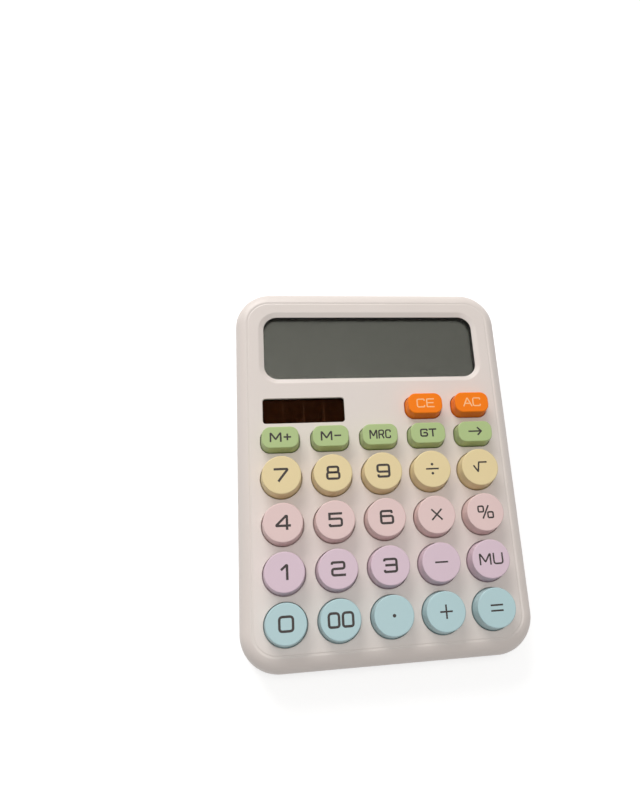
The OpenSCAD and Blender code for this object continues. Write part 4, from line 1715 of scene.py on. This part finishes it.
def rounded_path(points: Sequence[Vector], radius: float, steps: int = 5) -> list[Vector]:
    """Rounds the corners of a stroke.

    Args:
        points: The stroke's points.
        radius: Radius of the corners, where the stroke is long enough.
        steps: Parts of each round.

    Returns:
        The points of the rounded stroke.
    """
    path = [points[0]]
    for before, corner, after in zip(points, points[1:], points[2:]):
        back, ahead = before - corner, after - corner
        angle = back.angle(ahead)
        if angle > math.pi - STRAIGHT_RAD:
            path.append(corner)
            continue
        longest = CORNER_SHARE * min(back.length, ahead.length)
        reach = min(radius / math.tan(angle / 2), longest)
        start, end = corner + back.normalized() * reach, corner + ahead.normalized() * reach
        for share in (index / steps for index in range(steps + 1)):
            first, second = start.lerp(corner, share), corner.lerp(end, share)
            path.append(first.lerp(second, share))
    path.append(points[-1])
    return path


@dataclass
class Keypad:
    """The keys and the ink of their legends."""

    face: FaceFrame
    wardrobe: Wardrobe
    draft: float = 0.35
    edge: float = 0.42
    wall: float = 1.3
    flange: float = 0.9
    flange_top: float = -2.1
    flange_bottom: float = -3.0
    flange_round: float = 0.1
    foot_height: float = 0.8
    foot_share: float = 0.12
    ceiling_step: float = 0.4
    plunger: float = 2.0
    plunger_end: float = -3.2
    plunger_round: float = 0.2
    ink: float = 0.03
    legend_smooth_deg: float = 60.0

    def build(self) -> None:
        """Models a cap of each shape, copies it to every key and prints the legends."""
        caps = {shape: self._cap(shape) for shape in Cap}
        for key in KEYS:
            middle = self.face.middle(key.node)
            matrix = self.face.matrix @ Matrix.Translation((middle.x, middle.y, 0.0))
            cap = placed(copied(caps[key.cap], "cap_" + key.label), matrix, weigh=True)
            self.wardrobe.hand_over(cap, key.slot, key.node, key.node)
            legend = placed(self._legend(key), matrix, self.legend_smooth_deg)
            ink = Slot.PALE_INK if key.slot is Slot.ORANGE else Slot.DARK_INK
            self.wardrobe.hand_over(legend, ink, key.node)
        for cap in caps.values():
            bpy.data.objects.remove(cap)

    def _cap(self, shape: Cap) -> Object:
        """Models one cap at the origin of the face frame.

        Args:
            shape: Round or oval.

        Returns:
            The cap.
        """
        out, flange, shoulder = self.draft + self.flange, self.flange, shape.height - self.edge
        bottom, top, small = self.flange_bottom, self.flange_top, self.flange_round
        rings = [(0, bottom), (0, top - small), (small, top), (flange, top), (flange, 0.0),
                 (flange + self.foot_share * self.draft, self.foot_height), (out, shoulder)]
        rings += [(out + i, shoulder + j) for i, j in quarter(self.edge, self.edge, 6)]
        cap = turned("cap_" + shape.name.lower(), shape.outline.grown(out), rings)
        ceiling, step = shape.height - self.wall, self.ceiling_step
        room = [(0, bottom - OVER_MM), (0, bottom), (self.draft, ceiling - step),
                (self.draft + step, ceiling)]
        hollow = turned("room", shape.outline.grown(self.draft - self.wall), room)
        tip = self.plunger_end + self.plunger_round
        work(hollow, turned("core", Round(self.plunger, 32), [(0, tip), (0, ceiling + 0.5)]))
        work(cap, hollow)
        open_end(cap, -1)
        climb([(self.plunger_round, self.plunger_end)], 0.0, tip)
        return close_up(cap)

    def _legend(self, key: Key) -> Object:
        """Prints a key's legend round the origin, on its flat top.

        Args:
            key: The key.

        Returns:
            The legend.
        """
        signs = [sign.value for sign in key.signs]
        left = -(sum(sign.width for sign in signs) + key.spacing * (len(signs) - 1)) / 2
        strokes = []
        for sign in signs:
            strokes += self._strokes(sign, left, key.stroke)
            left += sign.width + key.spacing
        legend = joined("legend_" + key.label, strokes)
        legend.data.transform(Matrix.Translation((0.0, 0.0, key.cap.height)))
        return legend

    def _strokes(self, sign: Sign, left: float, thick: float) -> list[Object]:
        """Makes a sign's strokes and dots as thin beads of ink.

        Args:
            sign: The sign.
            left: X of its left edge.
            thick: Width of a stroke.

        Returns:
            The strokes.
        """
        wide, high = max(sign.width - thick, 0.0), max(sign.height - thick, 0.0)

        def spot(u: float, v: float) -> Vector:
            """Returns the place of a point of the sign's box."""
            return Vector((left + thick / 2 + u * wide, (v - 0.5) * high, 0.0))

        beads = []
        for stroke in sign.strokes:
            points = [spot(u, v) for u, v in stroke]
            closed = points[0] == points[-1]
            ended = points if closed else self._squared(points, thick)
            beads.append(self._bead(rounded_path(ended, sign.corner), thick / 2, closed))
        for u, v in sign.dots:
            rings = [(0, -self.ink), (0, 0.6 * self.ink), (0.12, self.ink)]
            beads.append(turned("dot", Round(sign.dot, 32), rings, spot(u, v)))
        return beads

    @staticmethod
    def _squared(points: list[Vector], thick: float) -> list[Vector]:
        """Lengthens a stroke by half its width at both ends, for square ends.

        Args:
            points: The stroke's points.
            thick: Its width.

        Returns:
            The points of the longer stroke.
        """
        first = points[0] + (points[0] - points[1]).normalized() * thick / 2
        last = points[-1] + (points[-1] - points[-2]).normalized() * thick / 2
        return [first, *points[1:-1], last]

    def _bead(self, path: list[Vector], radius: float, closed: bool) -> Object:
        """Makes one stroke as a tube along its path, pressed nearly flat.

        Args:
            path: The stroke's points.
            radius: Half the stroke's width.
            closed: Whether it meets itself.

        Returns:
            The stroke.
        """
        curve = bpy.data.curves.new("stroke", "CURVE")
        curve.dimensions = "3D"
        curve.bevel_depth = radius
        curve.bevel_resolution = 2
        curve.use_fill_caps = True
        points = path[:-1] if closed else path
        spline = curve.splines.new("POLY")
        spline.points.add(len(points) - 1)
        for point, place in zip(spline.points, points):
            point.co = (*place, 1.0)
        spline.use_cyclic_u = closed
        bead = bpy.data.objects.new("stroke", curve)
        bpy.context.scene.collection.objects.link(bead)
        pick(bead)
        bpy.ops.object.convert(target="MESH")
        bead = bpy.context.object
        edit(bead)
        bpy.ops.transform.resize(value=(1.0, 1.0, self.ink / radius), center_override=(0, 0, 0))
        return close_up(bead)


# ---------------------------------------------------------------- studio


@dataclass(frozen=True)
class Lamp:
    """A square lamp that faces the object, in metres and watts."""

    name: str
    place: tuple[float, float, float]
    size: float
    power: float
    colour: tuple[float, float, float]

    def hang(self) -> None:
        """Adds the lamp to the scene."""
        deselect()
        bpy.ops.object.light_add(type="AREA", location=self.place)
        lamp = bpy.context.object
        lamp.name = self.name
        lamp.data.size = self.size
        lamp.data.energy = self.power
        lamp.data.color = self.colour
        lamp.rotation_euler = (-Vector(self.place)).to_track_quat("-Z", "Y").to_euler()


@dataclass
class Studio:
    """Floor, soft light and camera. The camera's place and aim are in millimetres."""

    lamps: tuple[Lamp, ...] = (
        Lamp("window_light", (-0.5, 1.35, 0.95), 1.1, 21.0, (1.0, 0.99, 0.97)),
        Lamp("ceiling_light", (-0.1, -0.3, 2.8), 1.3, 23.0, (1.0, 0.985, 0.965)),
    )
    ambient: float = 0.32
    floor_half: float = 2.0
    floor_grey: float = 0.58
    floor_glow: float = 0.62
    stand: tuple[float, float, float] = (-47.51, -100.55, 309.45)
    aim: tuple[float, float, float] = (11.08, 25.77, 24.0)
    roll_deg: float = 21.29
    lens: float = 32.46
    sensor: float = 36.0
    shift: float = -0.099
    nearest: float = 0.01

    def build(self) -> None:
        """Sets up the floor, the light and the camera."""
        self._floor()
        self._world()
        for lamp in self.lamps:
            lamp.hang()
        self._camera()
        bpy.context.scene.view_settings.view_transform = "Standard"

    @staticmethod
    def _seen(graph: Graph) -> Socket:
        """Finds where the eye, a reflection or a clear piece looks.

        Args:
            graph: The graph to draw in.

        Returns:
            1 there, else 0.
        """
        path = graph.node("LightPath").outputs
        seen = graph.maths("MAXIMUM", path["Is Camera Ray"], path["Is Glossy Ray"])
        seen = graph.maths("MAXIMUM", seen, path["Is Transmission Ray"])
        direct = graph.maths("LESS_THAN", path["Diffuse Depth"], 0.5)
        return graph.maths("MULTIPLY", seen, direct)

    def _floor(self) -> None:
        """Lays the floor."""
        deselect()
        bpy.ops.mesh.primitive_plane_add(size=2 * self.floor_half)
        floor = bpy.context.object
        floor.name = "floor"
        material, graph = new_material("floor_paint")
        strength = graph.maths("MULTIPLY", self._seen(graph), self.floor_glow)
        glow = graph.node("Emission", Color=(1.0, 1.0, 1.0, 1.0), Strength=strength)
        paint = graph.node("BsdfDiffuse", Color=(*[self.floor_grey] * 3, 1.0))
        both = graph.node("AddShader", paint.outputs[0], glow.outputs[0])
        graph.node("OutputMaterial", both.outputs[0])
        floor.data.materials.append(material)

    def _world(self) -> None:
        """Sets the even light of the room, white where it is seen."""
        world = bpy.data.worlds.new("room")
        world.use_nodes = True
        graph = Graph(world.node_tree)
        strength = graph.maths("MULTIPLY_ADD", self._seen(graph), 1.0 - self.ambient, self.ambient)
        light = graph.node("Background", Color=(1.0, 1.0, 1.0, 1.0), Strength=strength)
        graph.node("OutputWorld", light.outputs[0])
        bpy.context.scene.world = world

    def _camera(self) -> None:
        """Stands the camera in front of and above the calculator."""
        place, aim = Vector(self.stand) * MM, Vector(self.aim) * MM
        data = bpy.data.cameras.new("camera")
        camera = bpy.data.objects.new("camera", data)
        bpy.context.scene.collection.objects.link(camera)
        data.lens = self.lens
        data.sensor_width = self.sensor
        data.shift_x = self.shift
        data.clip_start = self.nearest
        camera.location = place
        facing = (aim - place).to_track_quat("-Z", "Y").to_matrix()
        roll = Matrix.Rotation(math.radians(self.roll_deg), 3, "Z")
        camera.rotation_euler = (facing @ roll).to_euler()
        bpy.context.scene.camera = camera


def main() -> None:
    """Builds the calculator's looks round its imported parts, then the studio."""
    logging.basicConfig(level=logging.INFO, format="%(name)s: %(message)s")
    face, wardrobe = FaceFrame.measured(), Wardrobe()
    wardrobe.dress_nodes()
    UpperShell(face, wardrobe).build()
    lower = LowerShell(face, wardrobe)
    lower.build()
    BatteryDoor(lower).build()
    Feet(wardrobe).build()
    PowerCell(wardrobe).build()
    Windows(face, wardrobe).build()
    Keypad(face, wardrobe).build()
    Studio().build()


if __name__ == "__main__":
    main()
